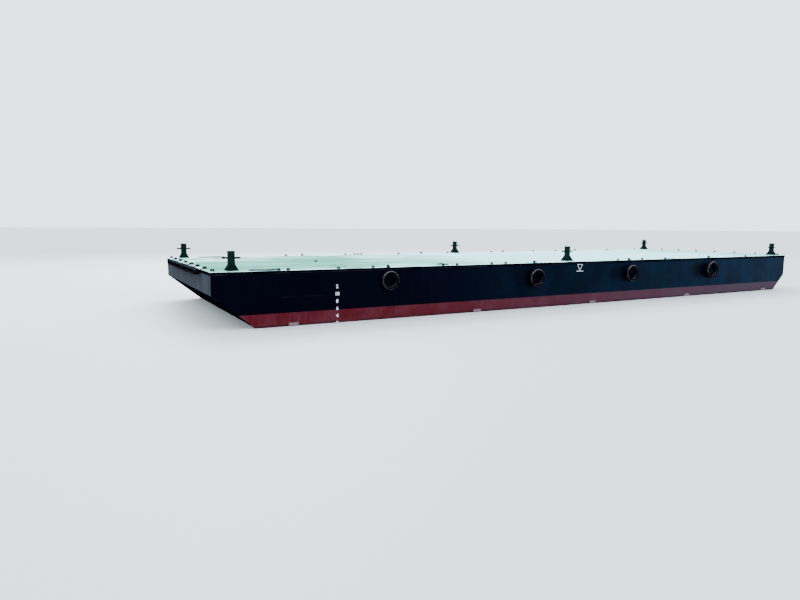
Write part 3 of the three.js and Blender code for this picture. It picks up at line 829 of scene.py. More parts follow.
def bead_along_paths(wiring, given):
    """A weld bead with its ripples along every edge path."""
    path = wiring.node("GeometryNodeMeshToCurve", given["Geometry"])
    feeds = {"Curve": path.outputs["Curve"], "Length": given["Ripple"]}
    even = wiring.node("GeometryNodeResampleCurve", named=feeds, mode="LENGTH")
    rough = wiring.noise(31.0, 2.0, wiring.node("GeometryNodeInputPosition").outputs["Position"])
    width = wiring.times(given["Radius"], wiring.spread(rough, 0.3, 0.7, 0.75, 1.25))
    feeds = {"Resolution": 6, "Radius": 1.0}
    section = wiring.node("GeometryNodeCurvePrimitiveCircle", named=feeds)
    feeds = {"Curve": even.outputs["Curve"], "Profile Curve": section.outputs["Curve"],
             "Scale": width, "Fill Caps": True}
    return wiring.node("GeometryNodeCurveToMesh", named=feeds).outputs["Mesh"]


SCATTER = growing_tree("scatter_parts", copies_on_points, Part="Object")
BEADS = growing_tree("weld_beads", bead_along_paths, Radius="Float", Ripple="Float")


def grown(name, start, tree, **values):
    """The plain mesh that a Geometry Nodes tree makes from a starting mesh."""
    maker = linked(name + "_maker", start)
    modifier = maker.modifiers.new("grow", "NODES")
    modifier.node_group = tree
    identifiers = {item.name: item.identifier for item in tree.interface.items_tree
                   if item.in_out == "INPUT"}
    for label, value in values.items():
        modifier[identifiers[label]] = value
    seen = maker.evaluated_get(bpy.context.evaluated_depsgraph_get())
    mesh = bpy.data.meshes.new_from_object(seen)
    mesh.name = name
    maker.modifiers.clear()
    bpy.data.objects.remove(maker)
    return shaded(mesh)


def scatter(name, part_mesh, places, material):
    """Copies of one part at (x, y, z, turn) places, as one piece."""
    part = linked(name + "_part", part_mesh)
    points = bpy.data.meshes.new(name + "_points")
    points.from_pydata([row[:3] for row in places], [], [])
    turns = points.attributes.new("turn", "FLOAT", "POINT")
    turns.data.foreach_set("value", [row[3] for row in places])
    mesh = grown(name, points, SCATTER, Part=part, Material=material)
    bpy.data.objects.remove(part)
    place(name, mesh, slot="fitting_green")


def weld(name, paths, radius, material, slot="hull_navy"):
    """Weld beads along several lists of points, as one piece."""
    points, edges = [], []
    for path in paths:
        start = len(points)
        points.extend(tuple(p) for p in path)
        edges.extend((start + i, start + i + 1) for i in range(len(path) - 1))
    lines = bpy.data.meshes.new(name + "_lines")
    lines.from_pydata(points, edges, [])
    mesh = grown(name, lines, BEADS, Radius=radius, Ripple=WELD_RIPPLE, Material=material)
    place(name, mesh, slot=slot)


# Stage

def stage():
    """The plain pale floor, at the waterline."""
    corners = [(x * FLOOR_REACH, y * FLOOR_REACH, WATERLINE)
               for x, y in ((-1, -1), (1, -1), (1, 1), (-1, 1))]
    paint = Finish("pale_floor", 0.6, 0.3).done(FLOOR_GREY)
    floor = linked("floor", Shape().add((corners, [(0, 1, 2, 3)])).mesh("floor", [paint]))


def camera():
    """The photograph's own view: it looks aft and to starboard, a little down."""
    data = bpy.data.cameras.new("camera")
    data.lens = CAMERA_LENS
    data.sensor_width = SENSOR_WIDTH
    data.clip_end = SIGHT_REACH
    seen = linked("camera", data)
    seen.matrix_world = (at(*CAMERA_PLACE) @ Matrix.Rotation(math.pi - CAMERA_YAW, 4, "Z")
                         @ Matrix.Rotation(math.pi / 2 - CAMERA_PITCH, 4, "X")
                         @ Matrix.Rotation(CAMERA_ROLL, 4, "Z"))
    bpy.context.scene.camera = seen


def lights():
    """An even pale sky, and two soft lights from over the far side and the bow."""
    world = bpy.data.worlds.new("studio")
    world.use_nodes = True
    background = world.node_tree.nodes["Background"]
    background.inputs["Color"].default_value = SKY_COLOUR
    background.inputs["Strength"].default_value = SKY_STRENGTH
    bpy.context.scene.world = world
    for name, spot, target, width, height, watts in LIGHTS:
        data = bpy.data.lights.new(name, "AREA")
        data.shape = "RECTANGLE"
        data.size = width
        data.size_y = height
        data.energy = watts
        light = linked(name, data)
        light.location = spot
        light.rotation_euler = (Vector(target) - Vector(spot)).to_track_quat("-Z", "Y").to_euler()


# Hull

def rake_x(z, knuckle, end, flat):
    """Where a raked end crosses a height."""
    return flat + (end - flat) * np.clip(np.asarray(z, float) / knuckle, 0, 1)


def side_points(x, z, sign):
    """The dished surface of the side plating at given places."""
    free = held(SHELL_TOP - z, 0.12) * held(BOW - x, 0.1) * held(x - STERN, 0.1)
    y = sign * (SIDE - sag(x, z, SIDE_DISH, free))
    return np.stack([x, np.broadcast_to(y, x.shape), z], axis=-1)


def hull_sides(topside, antifouling):
    upper = np.concatenate([np.linspace(BOOT_LINE, STERN_KNUCKLE, 6), [0.95, SEAM_HEIGHT],
                            np.linspace(BOW_KNUCKLE, SHELL_TOP, 9)])
    lower = np.linspace(0.0, BOOT_LINE, 9)
    parts = (("upper", upper, topside, "hull_navy"), ("lower", lower, antifouling, "antifouling_red"))
    share = np.linspace(0, 1, SIDE_COLUMNS)[None, :]
    for side, sign in SIDES:
        for part, levels, material, slot in parts:
            z = levels[:, None]
            low = rake_x(z, STERN_KNUCKLE, STERN, FLAT_STERN)
            x = low + (rake_x(z, BOW_KNUCKLE, BOW, FLAT_BOW) - low) * share
            outer = side_points(x, np.broadcast_to(z, x.shape), sign)
            body = plating(outer, np.array((0.0, sign, 0.0)))
            Shape().add(body).place(f"{side}_{part}_plating", [material], slot=slot,
                                    replaces=[f"{side}_side_{part}"])


def end_plates(transom_paint, rake_paint):
    """Transoms and rake plates."""
    # node, lower edge, upper edge, material
    rows = (
        ("bow_transom", (BOW, BOW_KNUCKLE), (BOW, SHELL_TOP), transom_paint),
        ("bow_rake_plate", (FLAT_BOW, 0.0), (BOW, BOW_KNUCKLE), rake_paint),
        ("stern_transom", (STERN, STERN_KNUCKLE), (STERN, SHELL_TOP), transom_paint),
        ("stern_rake_plate", (FLAT_STERN, 0.0), (STERN, STERN_KNUCKLE), rake_paint),
    )
    share = np.linspace(0, 1, END_GRID[0])[:, None]
    y = np.linspace(PLATE - SIDE, SIDE - PLATE, END_GRID[1])[None, :]
    free = held(share, 0.2) * held(1 - share, 0.2)
    for node, (x0, z0), (x1, z1), material in rows:
        out = 1 if x1 > 0 else -1
        normal = np.array(((z1 - z0) * out, 0.0, -(x1 - x0) * out))
        normal /= np.linalg.norm(normal)
        sunk = sag(y + 0.2, share * math.hypot(x1 - x0, z1 - z0), END_DISH, free)
        x = x0 + (x1 - x0) * share - normal[0] * sunk
        z = z0 + (z1 - z0) * share - normal[2] * sunk
        outer = np.stack(np.broadcast_arrays(x, y + 0 * sunk, z), axis=-1)
        name = node.removesuffix("_plate") + "_plating"
        Shape().add(plating(outer, normal)).place(name, [material], slot="hull_navy", replaces=[node])


def deck_points(x, y):
    """The deck's surface, dished between its frames."""
    free = held(SIDE - np.abs(y), 0.15) * held(BOW - x, 0.35) * held(x - STERN, 0.35)
    return np.stack(np.broadcast_arrays(x, y, DECK - sag(x, y, DECK_DISH, free)), axis=-1)


def deck(paint, edge_paint):
    rows, columns = DECK_GRID
    x = np.linspace(STERN, BOW, columns)[None, :]
    y = np.linspace(-SIDE, SIDE, rows)[:, None]
    body = plating(deck_points(x, y), np.array((0.0, 0.0, 1.0)))
    top_faces = (rows - 1) * (columns - 1)
    numbers = [0] * top_faces + [1] * (len(body[1]) - top_faces)
    Shape().add(body, numbers).place("deck_plating", [paint, edge_paint], slot="deck_green",
                                     replaces=["deck_margin", "cargo_deck"])


def rails(paint, scuffed_and_highlit):
    """Rub rails: a rounded flat bar round the hull under the deck's edge, lighter on the lower half of its
    face with scuffs and a painted highlight.
    """
    lower = [(0.0, 0.0), (RAIL_PROUD - RAIL_EASE, 0.001), (RAIL_PROUD - 0.002, 0.003),
             (RAIL_PROUD, RAIL_EASE)]
    section = lower + [(RAIL_PROUD, RAIL_HEIGHT / 2)]
    section += [(reach, RAIL_HEIGHT - up) for reach, up in reversed(lower)]
    count = len(section)
    low = SHELL_TOP - RAIL_HEIGHT
    corner = SIDE + RAIL_PROUD
    # node, start, end, outward direction
    rows = (
        ("port_rub_rail", (STERN, SIDE), (BOW, SIDE), (0, 1)),
        ("starboard_rub_rail", (BOW, -SIDE), (STERN, -SIDE), (0, -1)),
        ("bow_rub_rail", (BOW, corner), (BOW, -corner), (1, 0)),
        ("stern_rub_rail", (STERN, -corner), (STERN, corner), (-1, 0)),
    )
    for node, start, end, out in rows:
        start, end, out = (np.array(p, float) for p in (start, end, out))
        steps = max(2, round(np.linalg.norm(end - start) / RAIL_STEP))
        knocks = RAIL_KNOCK * waves(np.arange(steps + 1) * RAIL_STEP, 0.0, RAIL_WAVES, RAIL_SEED)
        points = []
        for i, knock in enumerate(knocks):
            for reach, up in section:
                depth = reach + (knock - RAIL_KNOCK if reach > 0 else 0.0)
                x, y = start + (end - start) * i / steps + out * depth
                points.append((x, y, low + up))
        faces = swept_faces(steps + 1, count)
        numbers = [int(k == SCUFF_AND_HIGHLIGHT_FACE) for k in range(count)] * steps + [0, 0]
        Shape().add((points, faces), numbers).place(node + "_bar", [paint, scuffed_and_highlit], slot="hull_navy",
                                                    replaces=[node])


def along_side(run, sign):
    """A level seam on the side, between two stations."""
    x = np.linspace(BOW - run[0], BOW - run[1], 120)
    return side_points(x, np.full_like(x, SEAM_HEIGHT), sign)


def up_side(station, sign):
    """An upright seam on the side, above the boot line."""
    z = np.linspace(BOOT_LINE, SEAM_TOP, 24)
    return side_points(np.full_like(z, BOW - station), z, sign)


def hull_seams(topside, scuffed_and_highlit, deck_paint):
    """Weld seams between the hull's plates, at its corners and between the deck's plates; the corner seams
    and one run of side seam are lighter, with scuffs and a painted highlight.
    """
    plain, corners, on_deck = [], [], []
    for _, sign in SIDES:
        plain += [along_side(run, sign) for run in SEAM_RUNS]
        plain += [up_side(station, sign) for station in SEAM_STATIONS]
        for end, knuckle, flat in ((BOW, BOW_KNUCKLE, FLAT_BOW), (STERN, STERN_KNUCKLE, FLAT_STERN)):
            foot = float(rake_x(CORNER_FOOT, knuckle, end, flat))
            corners.append([(end, sign * SIDE, SEAM_TOP), (end, sign * SIDE, knuckle),
                            (foot, sign * SIDE, CORNER_FOOT)])
    for y in DECK_SEAM_LINES:
        x = np.linspace(STERN + DECK_SEAM_STATIONS[0], BOW - DECK_SEAM_STATIONS[0], 160)
        on_deck.append(deck_points(x, np.full_like(x, y)))
    for station in DECK_SEAM_STATIONS:
        y = np.linspace(0.02 - SIDE, SIDE - 0.02, 80)
        on_deck.append(deck_points(np.full_like(y, BOW - station), y))
    # A run of side seam painted lighter, with scuffs and a painted highlight
    worn = [along_side(HIGHLIT_SEAM_RUN, sign) for _, sign in SIDES]
    weld("hull_weld_seams", plain, SIDE_WELD, topside)
    weld("worn_weld_seams", worn, WORN_WELD, scuffed_and_highlit)
    weld("hull_corner_seams", corners, WORN_WELD, scuffed_and_highlit)
    weld("deck_weld_seams", on_deck, DECK_WELD, deck_paint, "deck_green")


# Fittings

def plate_lug(length, height, shoulder, foot, eye_height, eye_radius, thickness):
    """An upright plate with rounded shoulders and a round eye, its face along X."""
    half = length / 2
    rise = height - shoulder
    outline = [(-half, -foot), (half, -foot)]
    for centre, start in ((half - shoulder, 0.0), (shoulder - half, math.pi / 2)):
        for i in range(9):
            angle = start + math.pi / 2 * i / 8
            outline.append((centre + shoulder * math.cos(angle), rise + shoulder * math.sin(angle)))
    angles = [math.atan2(y - eye_height, x) for x, y in outline]
    eye = [(eye_radius * math.cos(a), eye_height + eye_radius * math.sin(a)) for a in angles]
    back, front = -thickness / 2, thickness / 2
    rings = ((outline, back), (outline, front), (eye, front), (eye, back))
    points = [(x, y, z) for ring, z in rings for x, y in ring]
    return moved((points, swept_faces(4, len(outline), closed=True)), QUARTER_ABOUT_X)


def base_plate(node, thickness):
    """A plate on the deck with the outline of a node's box, and the middle of its top."""
    low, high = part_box(node)
    top = DECK + thickness
    plate = block((low.x, low.y, DECK), (high.x, high.y, top))
    return plate, ((low.x + high.x) / 2, (low.y + high.y) / 2, top)


def post_profile(top):
    """A bollard's post and cap: (radius, height) points."""
    under_cap = top - CAP_THICK
    return [(0, 0.0), (POST_RADIUS, 0.0), (POST_RADIUS, under_cap - CAP_EASE),
            (CAP_RADIUS - 0.002, under_cap), (CAP_RADIUS, under_cap + CAP_EASE),
            (CAP_RADIUS, top - 0.004), (CAP_RADIUS - CAP_EASE, top), (0, top)]


def bollards(material, bar_material, deck_paint):
    """Capped posts with a crossbar and four gussets, welded to a foot plate."""
    root = POST_RADIUS - GUSSET_SUNK
    gusset = [(root, 0.006), (GUSSET_REACH, 0.006), (GUSSET_REACH, FOOT_THICK + GUSSET_TOE),
              (POST_RADIUS, GUSSET_HEIGHT), (root, GUSSET_HEIGHT)]
    for node in [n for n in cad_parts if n.endswith("_bollard")]:
        centre, size = middle(node)
        here = at(centre.x, centre.y, DECK)
        level = here @ at(0, 0, CROSSBAR_HEIGHT)
        shape = Shape().add(moved(turned(post_profile(size.z), 40), here))
        shape.add(moved(round_bar(CROSSBAR_RADIUS, size.x, 20, 0.004), level), 2)
        shape.add(moved(block((-FOOT_HALF, -FOOT_HALF, 0), (FOOT_HALF, FOOT_HALF, FOOT_THICK)), here), 1)
        for k in range(4):
            turn = Matrix.Rotation(math.pi / 4 + k * math.pi / 2, 4, "Z")
            shape.add(moved(prism(gusset, GUSSET_THICK), here @ turn @ QUARTER_ABOUT_X))
        foot_weld = tube(ring_points(POST_RADIUS + 0.003, 40), FOOT_WELD, 6, closed=True)
        shape.add(moved(foot_weld, here @ at(0, 0, FOOT_THICK + 0.002)))
        bar_weld = tube(ring_points(CROSSBAR_RADIUS + 0.002, 20), BAR_WELD, 6, closed=True)
        for sign in (1, -1):
            shape.add(moved(bar_weld, level @ at(sign * (POST_RADIUS - 0.001), 0, 0) @ QUARTER_ABOUT_Y))
        shape.place(node + "_post", [material, deck_paint, bar_material], slot="fitting_green",
                    replaces=[node], bevel=POST_BEVEL)


def lug_bars(lug_material, bar_material):
    """The row of plate lugs on a flat bar near each end."""
    for end in ("bow", "stern"):
        node = f"{end}_lug_bar"
        plate, (x, _, top) = base_plate(node, LUG_BAR_THICK)
        shape = Shape().add(plate, 1)
        for k in range(LUGS_IN_ROW):
            y = (k - (LUGS_IN_ROW - 1) / 2) * LUG_SPACING
            shape.add(moved(plate_lug(*ROW_LUG), at(x, y, top)))
        shape.place(f"{end}_deck_lugs", [lug_material, bar_material], slot="fitting_green",
                    replaces=[node], bevel=LUG_BEVEL)


def lashing_lugs(material):
    """Small plate lugs welded along both deck edges."""
    places = [(BOW - station, sign * (SIDE - SIDE_LUG_INSET), DECK, 0.0)
              for sign, stations in ((1, PORT_LUGS), (-1, STARBOARD_LUGS)) for station in stations]
    lug = Shape().add(plate_lug(*SIDE_LUG)).mesh("lashing_lug")
    scatter("side_lashing_lugs", lug, places, material)


def tyre_lugs(material):
    """Two cheeks on a base with a pin between them, one pair to each side tyre."""
    cheek = moved(prism(CHEEK, CHEEK_THICK), Matrix.Rotation(math.pi / 2, 4, "Z") @ QUARTER_ABOUT_X)
    for node in [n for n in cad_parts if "_tyre_lug_" in n]:
        plate, (x, y, _) = base_plate(node, TYRE_LUG_BASE)
        shape = Shape().add(plate)
        for offset in (-CHEEK_OFFSET, CHEEK_OFFSET):
            shape.add(moved(cheek, at(x + offset, y, DECK)))
        shape.add(moved(round_bar(PIN_RADIUS, PIN_LENGTH, 18, 0.002), at(x, y, DECK + PIN_HEIGHT)))
        shape.place(node + "_cheeks", [material], slot="fitting_green", replaces=[node], bevel=LUG_BEVEL)


# Tyres

def tyre_section():
    """A worn tyre's closed section, as shares of its radius: (radius, across)."""
    outer = [(1.0, 0.0), (0.977, 0.013), (0.977, 0.033), (1.0, 0.043), (1.0, 0.100), (0.977, 0.108),
             (0.977, 0.128), (0.997, 0.138), (0.990, 0.180), (0.972, 0.215), (0.945, 0.243),
             (0.900, 0.265), (0.850, 0.277), (0.800, 0.280), (0.765, 0.274), (0.750, 0.264),
             (0.720, 0.258), (0.690, 0.235), (0.675, 0.210), (0.662, 0.207), (0.655, 0.195),
             (0.650, 0.178)]
    inner = [(0.648, 0.150), (0.662, 0.125), (0.700, 0.165), (0.760, 0.205), (0.810, 0.218),
             (0.870, 0.200), (0.915, 0.158), (0.936, 0.085), (0.938, 0.0)]
    half = outer + inner
    return half + [(radius, -across) for radius, across in reversed(half[1:-1])]


def tyre_body(size, sign):
    """A worn tyre about the Y axis, with cross grooves in its shoulders, and lighter rubber at the shoulder
    and bead of its outer face: scuffs and a painted highlight.
    """
    section = tyre_section()
    points = []
    for i in range(TYRE_STEPS):
        angle = 2 * math.pi * i / TYRE_STEPS
        for radius, across in section:
            grooved = i % 3 == 0 and radius > 0.94 and abs(across) > 0.13
            r = size * (radius - (SHOULDER_CUT if grooved else 0.0))
            points.append((r * math.sin(angle), size * across, r * math.cos(angle)))
    # The outer face's shoulder and bead take the lighter rubber: scuffs and a painted highlight
    scuffed_and_highlit = [int(sign * across > 0.17 and (radius > 0.93 or radius < 0.675))
               for radius, across in section]
    return (points, swept_faces(TYRE_STEPS, len(section), closed=True)), scuffed_and_highlit * TYRE_STEPS


def side_tyres(rubber, scuff_highlit_rubber, rope):
    for side, sign in SIDES:
        for k in range(1, TYRES_A_SIDE + 1):
            centre, size = middle(f"{side}_tyre_{k}")
            radius = size.z / 2 / math.cos(math.pi / TYRE_SIDES)
            body = f"{side}_fender_{k}"
            tyre, numbers = tyre_body(radius, sign)
            shape = Shape().add(moved(tyre, Matrix.Translation(centre)), numbers)
            shape.place(f"{side}_hung_tyre_{k}", [rubber, scuff_highlit_rubber], body=body,
                        slot="tyre_rubber", replaces=[f"{side}_tyre_{k}"])
            sling(centre, radius, sign).place(f"{side}_sling_rope_{k}", [rope], body=body,
                                              slot="rope", replaces=[f"{side}_sling_{k}"])


def sling(centre, radius, sign):
    """A rope from the eye on the lug's pin, over the deck's edge, to a knot inside the tread."""
    pin_y, pin_z = SIDE - PIN_INSET, DECK + PIN_HEIGHT
    top = centre.z + radius
    inner = centre.z + radius * (1 - TYRE_WALL_SHARE) * math.cos(math.pi / TYRE_SIDES)
    out = abs(centre.y)

    def upright_path(route):
        return smooth_path([(centre.x, sign * y, z) for y, z in route], 0.006)

    shape = Shape()
    route = [(pin_y + EYE_RADIUS, pin_z), (SIDE, pin_z - 0.005), (SIDE + 0.032, pin_z - 0.024),
             (SIDE + 0.048, pin_z - 0.056), (out - 0.012, top + 0.05), (out, top + 0.024),
             (out, inner - 0.015)]
    laid_rope(shape, upright_path(route), SLING_RADIUS, SLING_PITCH)
    turns = np.linspace(0, 2 * math.pi, 30, endpoint=False)
    eye = np.stack([np.full_like(turns, centre.x), sign * (pin_y + EYE_RADIUS * np.cos(turns)),
                    pin_z + EYE_RADIUS * np.sin(turns)], axis=1)
    shape.add(tube(eye, SLING_RADIUS * 0.92, 8, closed=True))
    knot = [(0, -0.014), (0.014, -0.013), (0.022, -0.006), (0.0235, 0.0), (0.022, 0.007),
            (0.014, 0.0135), (0, 0.0145)]
    shape.add(moved(turned(knot, 14), at(centre.x, sign * out, inner - 0.017)))
    splice = upright_path([(pin_y + EYE_RADIUS + 0.004, pin_z), (SIDE - 0.012, pin_z - 0.002)])
    shape.add(tube(splice, SLING_RADIUS * 1.15, 10))
    return shape


def bow_tyres(rubber, scuff_highlit_rubber):
    """Tyres pulled into flat ovals: the tread outside, the two beads almost closed inside."""
    for k in range(1, BOW_TYRES + 1):
        node = f"bow_tyre_{k}"
        centre, size = middle(node)
        tyre, numbers = flat_tyre(size.y, size.z, size.x, k)
        shape = Shape().add(moved(tyre, Matrix.Translation(centre)), numbers)
        shape.place(f"bow_flat_tyre_{k}", [rubber, scuff_highlit_rubber], slot="tyre_rubber", replaces=[node])


def flat_section():
    """A flat tyre's closed section: (inset from the tread, share of the half width)."""
    depth = BEAD_DEPTH
    outer = [(depth, 0.60), (depth * 0.75, 0.74), (depth * 0.5, 0.93), (depth * 0.32, 0.99),
             (depth * 0.18, 0.96), (0.008, 0.84), (0.002, 0.74), (0.0, 0.5), (0.006, 0.47),
             (0.006, 0.40), (0.0, 0.37), (0.0, 0.08), (0.006, 0.05)]
    inner = [(depth * 0.98, 0.46), (depth * 0.7, 0.60), (depth * 0.45, 0.78), (0.024, 0.70),
             (0.018, 0.3)]
    outer += [(inset, -across) for inset, across in reversed(outer)]
    inner += [(inset, -across) for inset, across in reversed(inner)]
    return outer + inner[::-1]


def flat_tyre(length, height, width, seed):
    """One flat oval, a little sagged and skewed, with grooved shoulders in lighter rubber: scuffs and a
    painted highlight.
    """
    chance = np.random.default_rng(70 + seed)
    sag_depth, skew = chance.uniform(0.004, 0.016), chance.uniform(-0.01, 0.01)
    radius = height / 2
    straight = length / 2 - radius
    path = []
    for end in (1, -1):
        path += [(end * straight, math.pi * (step / (END_STEPS - 1) - end / 2)) for step in range(END_STEPS)]
        path += [(end * straight * (1 - 2 * step / (END_STEPS + 1)), math.pi * (1 - end / 2))
                 for step in range(1, END_STEPS + 1)]
    section = flat_section()
    points = []
    for i, (base, angle) in enumerate(path):
        for inset, across in section:
            grooved = i % 3 == 0 and inset < 0.01 and abs(across) > 0.5
            r = radius - inset - (BOW_TYRE_CUT if grooved else 0.0)
            y = base + r * math.cos(angle)
            drop = sag_depth * (1 - (2 * y / length) ** 2) + skew * 2 * y / length
            points.append((across * width / 2 * 0.985, y, r * math.sin(angle) - drop))
    faces = [(a, d, c, b) for a, b, c, d in swept_faces(len(path), len(section), closed=True)]
    # The shoulders take the lighter rubber: scuffs and a painted highlight
    scuffed_and_highlit = [int(inset < 0.012 and abs(across) > 0.7) for inset, across in section]
    return (points, faces), scuffed_and_highlit * len(path)


def bow_lashings(rope):
    """Ropes from the bow lugs over the edge, each round the ends of the tyres beside it."""
    shape = Shape()
    lug_x = middle("bow_lug_bar")[0].x
    eye_z = DECK + LUG_BAR_THICK + ROW_LUG[4]
    centre, size = middle("bow_tyre_1")
    front = centre.x + size.x / 2 + 0.006
    back = BOW + 0.034
    reach = (LUG_SPACING - size.y) / 2 + 0.075
    # x, how far beyond the turn's end
    turn = ((back, 0.0), (back + 0.05, 0.004), (front - 0.05, 0.004), (front, -0.02))
    for k in range(BOW_TYRES + 1):
        y = (BOW_TYRES / 2 - k) * LUG_SPACING
        low_y = y - (reach if k < BOW_TYRES else 0.012)
        high_y = y + (reach if k > 0 else 0.012)
        for z in (centre.z - 0.012, centre.z + 0.008):
            loop = [(x, low_y - beyond, z) for x, beyond in turn]
            loop.append((front + 0.002, (low_y + high_y) / 2, z + 0.004))
            loop += [(x, high_y + beyond, z) for x, beyond in reversed(turn)]
            laid_rope(shape, smooth_path(loop, 0.01), LASH_RADIUS, LASH_PITCH)
        for side_y in (y, y - 0.02):
            lead = [(lug_x + 0.006, y + 0.03, eye_z - 0.012), (lug_x, y, eye_z),
                    (lug_x + 0.015, y - 0.026, eye_z - 0.004), (lug_x + 0.06, side_y - 0.01, DECK + 0.026),
                    (BOW, side_y, DECK + 0.009), (BOW + 0.030, side_y, DECK - 0.02),
                    (BOW + 0.031, side_y, centre.z + 0.03), (BOW + 0.034, side_y, centre.z - 0.03)]
            laid_rope(shape, smooth_path(lead, 0.01), LASH_RADIUS, LASH_PITCH)
    shape.place("bow_tyre_lashings", [rope], slot="rope")


def mooring_ropes(ropes):
    """Limp ropes on the deck, each with the rope of its own side."""
    level = DECK + MOORING_ROPE_LIFT + MOORING_ROPE_RADIUS
    for node, (sign, route) in MOORING_ROPES.items():
        points = [(BOW - station, sign * (SIDE - inset), level) for station, inset in route]
        line = smooth_path(points, 0.011)
        shape = Shape()
        laid_rope(shape, line, MOORING_ROPE_RADIUS, MOORING_ROPE_PITCH)
        piece = shape.place(f"{node}_laid", [ropes[sign]], slot="rope", replaces=[node])


# Deck details

def manhole_covers(deck_paint, fitting):
    """Flush round covers with two handles and a ring of bolts."""
    bolt = Shape().add(turned(COVER_BOLT, 6)).mesh("cover_bolt")
    for node in ("bow_manhole_cover", "stern_manhole_cover"):
        (x, y, _), size = middle(node)
        radius, top = size.x / 2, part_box(node)[1].z
        rim = [(0, DECK - 0.002), (radius, DECK - 0.002), (radius, DECK + 0.006),
               (radius - 0.003, DECK + 0.008), (radius - 0.012, DECK + 0.008),
               (radius - 0.014, top - 0.002), (radius - 0.016, top), (0, top)]
        shape = Shape().add(moved(turned(rim, 64), at(x, y, 0)))
        for offset in (HANDLE_OFFSET, -HANDLE_OFFSET):
            handle = smooth_path([(x + offset, y + along, top + rise) for along, rise in HANDLE], 0.006)
            shape.add(tube(handle, HANDLE_RADIUS, 8), 1)
        shape.place(node + "_plate", [deck_paint, fitting], slot="deck_green", replaces=[node])
        ring = radius - COVER_BOLT_INSET
        places = [(x + ring * math.cos(a), y + ring * math.sin(a), top - 0.001, a)
                  for a in np.linspace(0, 2 * math.pi, COVER_BOLTS, endpoint=False)]
        scatter(node + "_bolts", bolt, places, fitting)


def vent_cap(material):
    """The small mushroom cap of the sounding pipe near the centreline."""
    cap = moved(turned(CAP_PROFILE, 32), at(BOW - CAP_STATION, SIDE - CAP_INSET, DECK - CAP_SUNK))
    Shape().add(cap).place("sounding_pipe_cap", [material], slot="fitting_green")


def bent_rod(material):
    """A bent steel rod that lies along the deck's port edge, hooked through a lug."""
    route = [(BOW - station, SIDE - inset, DECK + rise) for station, inset, rise in ROD_ROUTE]
    rod = tube(smooth_path(route, 0.02), ROD_RADIUS, 8)
    Shape().add(rod).place("bent_deck_rod", [material], slot="fitting_green")


def anodes(zinc):
    """Cast zinc blocks on the sides, at the waterline."""
    shape = Shape()
    for station in ANODE_STATIONS:
        for _, sign in SIDES:
            x = BOW - station
            inner, outer = sorted((sign * (SIDE - ANODE_SUNK), sign * (SIDE + ANODE_PROUD)))
            shape.add(block((x - ANODE_HALF, inner, ANODE_LOW), (x + ANODE_HALF, outer, ANODE_HIGH)))
    shape.place("side_anodes", [zinc], bevel=ANODE_BEVEL)


# Painted marks

def glyph(text):
    """A figure's outline as a thin flat mesh: points in X and Y, with its faces."""
    curve = bpy.data.curves.new("figure", "FONT")
    curve.body = text
    curve.size = FIGURE_SIZE
    curve.align_x = "CENTER"
    curve.offset = FIGURE_BOLD
    curve.resolution_u = 4
    holder = linked("figure", curve)
    seen = holder.evaluated_get(bpy.context.evaluated_depsgraph_get())
    mesh = bpy.data.meshes.new_from_object(seen)
    points = [tuple(v.co) for v in mesh.vertices]
    faces = [tuple(p.vertices) for p in mesh.polygons]
    bpy.data.objects.remove(holder)
    bpy.data.meshes.remove(mesh)
    return points, faces


def stroke(start, end):
    """A flat painted line between two points."""
    (x0, z0), (x1, z1) = start, end
    half = STROKE / 2 / math.hypot(x1 - x0, z1 - z0)
    cx, cz = (z0 - z1) * half, (x1 - x0) * half
    corners = [(x0 - cx, z0 - cz, 0), (x1 - cx, z1 - cz, 0), (x1 + cx, z1 + cz, 0), (x0 + cx, z0 + cz, 0)]
    return corners, [(0, 1, 2, 3)]


def on_side(flat, station, z, sign):
    """A flat figure laid on the side plating, closed, and readable from outside."""
    points, faces = flat
    x = np.array([BOW - station - sign * p[0] for p in points])
    face = side_points(x, np.array([z + p[1] for p in points]), sign)
    outer = face + np.array((0.0, sign * MARK_PROUD, 0.0))
    inner = face - np.array((0.0, sign * MARK_SUNK, 0.0))
    count = len(points)
    edges = [pair for face in faces for pair in zip(face, face[1:] + face[:1])]
    border = [(a, b) for a, b in edges if (b, a) not in edges]
    made = list(faces)
    made += [tuple(i + count for i in face[::-1]) for face in faces]
    made += [(b, a, a + count, b + count) for a, b in border]
    return np.vstack([outer, inner]), made


def marks(white):
    """Draft figures near the bow and the freeboard mark amidships, plain and generic."""
    half, bar = FREEBOARD_HALF, FREEBOARD_BAR
    tip, top, bar_z = FREEBOARD_TIP, FREEBOARD_TOP, FREEBOARD_TIP - 1.5 * STROKE
    lines = (((-half, top), (half, top)), ((-half, top), (0.0, tip)), ((half, top), (0.0, tip)),
             ((-bar, bar_z), (bar, bar_z)))
    shape = Shape()
    for _, sign in SIDES:
        for text, z in DRAFT_FIGURES:
            shape.add(on_side(glyph(text), FIGURE_STATION, z, sign))
        for start, end in lines:
            shape.add(on_side(stroke(start, end), FREEBOARD_STATION, 0.0, sign))
    shape.place("painted_marks", [white])


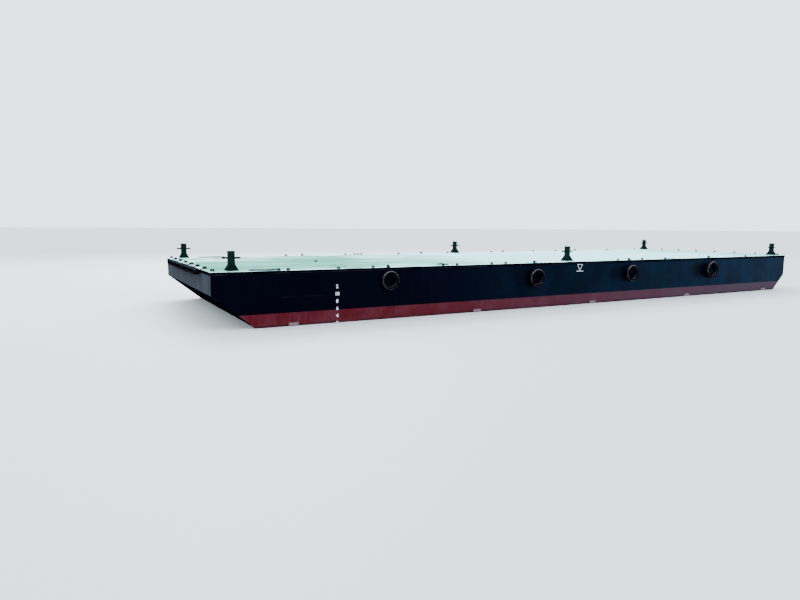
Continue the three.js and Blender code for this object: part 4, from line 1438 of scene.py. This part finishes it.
def dress():
    """Makes the materials and the pieces, cords first."""
    # Navy paint, lighter toward the stern in a painted sheen
    topside = painted_steel("navy_topside_paint", NAVY, NAVY_AFT, 0.01, 0.06)
    # Painted shade: darker navy without sheen, for the rake plates, the deck plate's edge and the rub rails
    rake_paint = painted_steel("shaded_rake_paint", SHADED_NAVY, SHADED_NAVY)
    # Lighter paint for scuffs and a painted highlight, on the rub rails and some weld seams
    scuffed_and_highlit = two_tone("scuff_paint_with_painted_highlight", 0.6, DEEP_NAVY, SCUFF_AND_HIGHLIGHT, WORN_PATCHES, WORN_GRAIN)
    antifouling = antifouling_material()
    deck_paint = deck_material()
    fitting = fitting_material("dark_green_fitting_paint", FITTING_GREEN, FITTING_DARK, 0.15)
    lug_paint = fitting_material("sooty_lug_paint", LUG_GREEN, LUG_DARK, 0.03)
    # Tyre rubber, lighter on top and at the shoulders and beads: dusting and scuffs with a painted highlight
    rubber = rubber_material("weathered_tyre_rubber", RUBBER, RUBBER_DUST_AND_HIGHLIGHT, 0.8)
    scuff_highlit_rubber = rubber_material("tyre_rubber_with_scuffs_and_painted_highlight", HIGHLIT_SCUFF_RUBBER, SCUFF_DUST_AND_HIGHLIGHT, 0.95)
    grimy_highlit_rubber = rubber_material("grimy_tyre_rubber_with_painted_highlight", RUBBER, GRIMY_DUST_AND_HIGHLIGHT, 0.9)
    tarred_rope = two_tone("tarred_rope", 0.9, TAR_DARK, TAR_LIGHT, ROPE_PATCHES, ROPE_GRAIN)
    grimy_rope = two_tone("grimy_rope", 0.9, GRIMY_ROPE_DARK, GRIMY_ROPE_LIGHT, ROPE_PATCHES, ROPE_GRAIN)
    mooring_ropes({1: grimy_rope, -1: tarred_rope})
    hull_sides(topside, antifouling)
    end_plates(transom_material(), rake_paint)
    deck(deck_paint, rake_paint)
    rails(rake_paint, scuffed_and_highlit)
    hull_seams(topside, scuffed_and_highlit, deck_paint)
    bollards(fitting, lug_paint, deck_paint)
    lug_bars(lug_paint, deck_paint)
    lashing_lugs(lug_paint)
    tyre_lugs(lug_paint)
    side_tyres(rubber, scuff_highlit_rubber, tarred_rope)
    bow_tyres(rubber, grimy_highlit_rubber)
    bow_lashings(tarred_rope)
    bent_rod(lug_paint)
    manhole_covers(deck_paint, fitting)
    vent_cap(fitting)
    anodes(zinc_material())
    marks(mark_material())
    for node in ("bottom_plate", "port_skeg", "starboard_skeg"):
        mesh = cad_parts[node].data
        mesh.materials.clear()
        mesh.materials.append(antifouling)


camera()
lights()
stage()
dress()
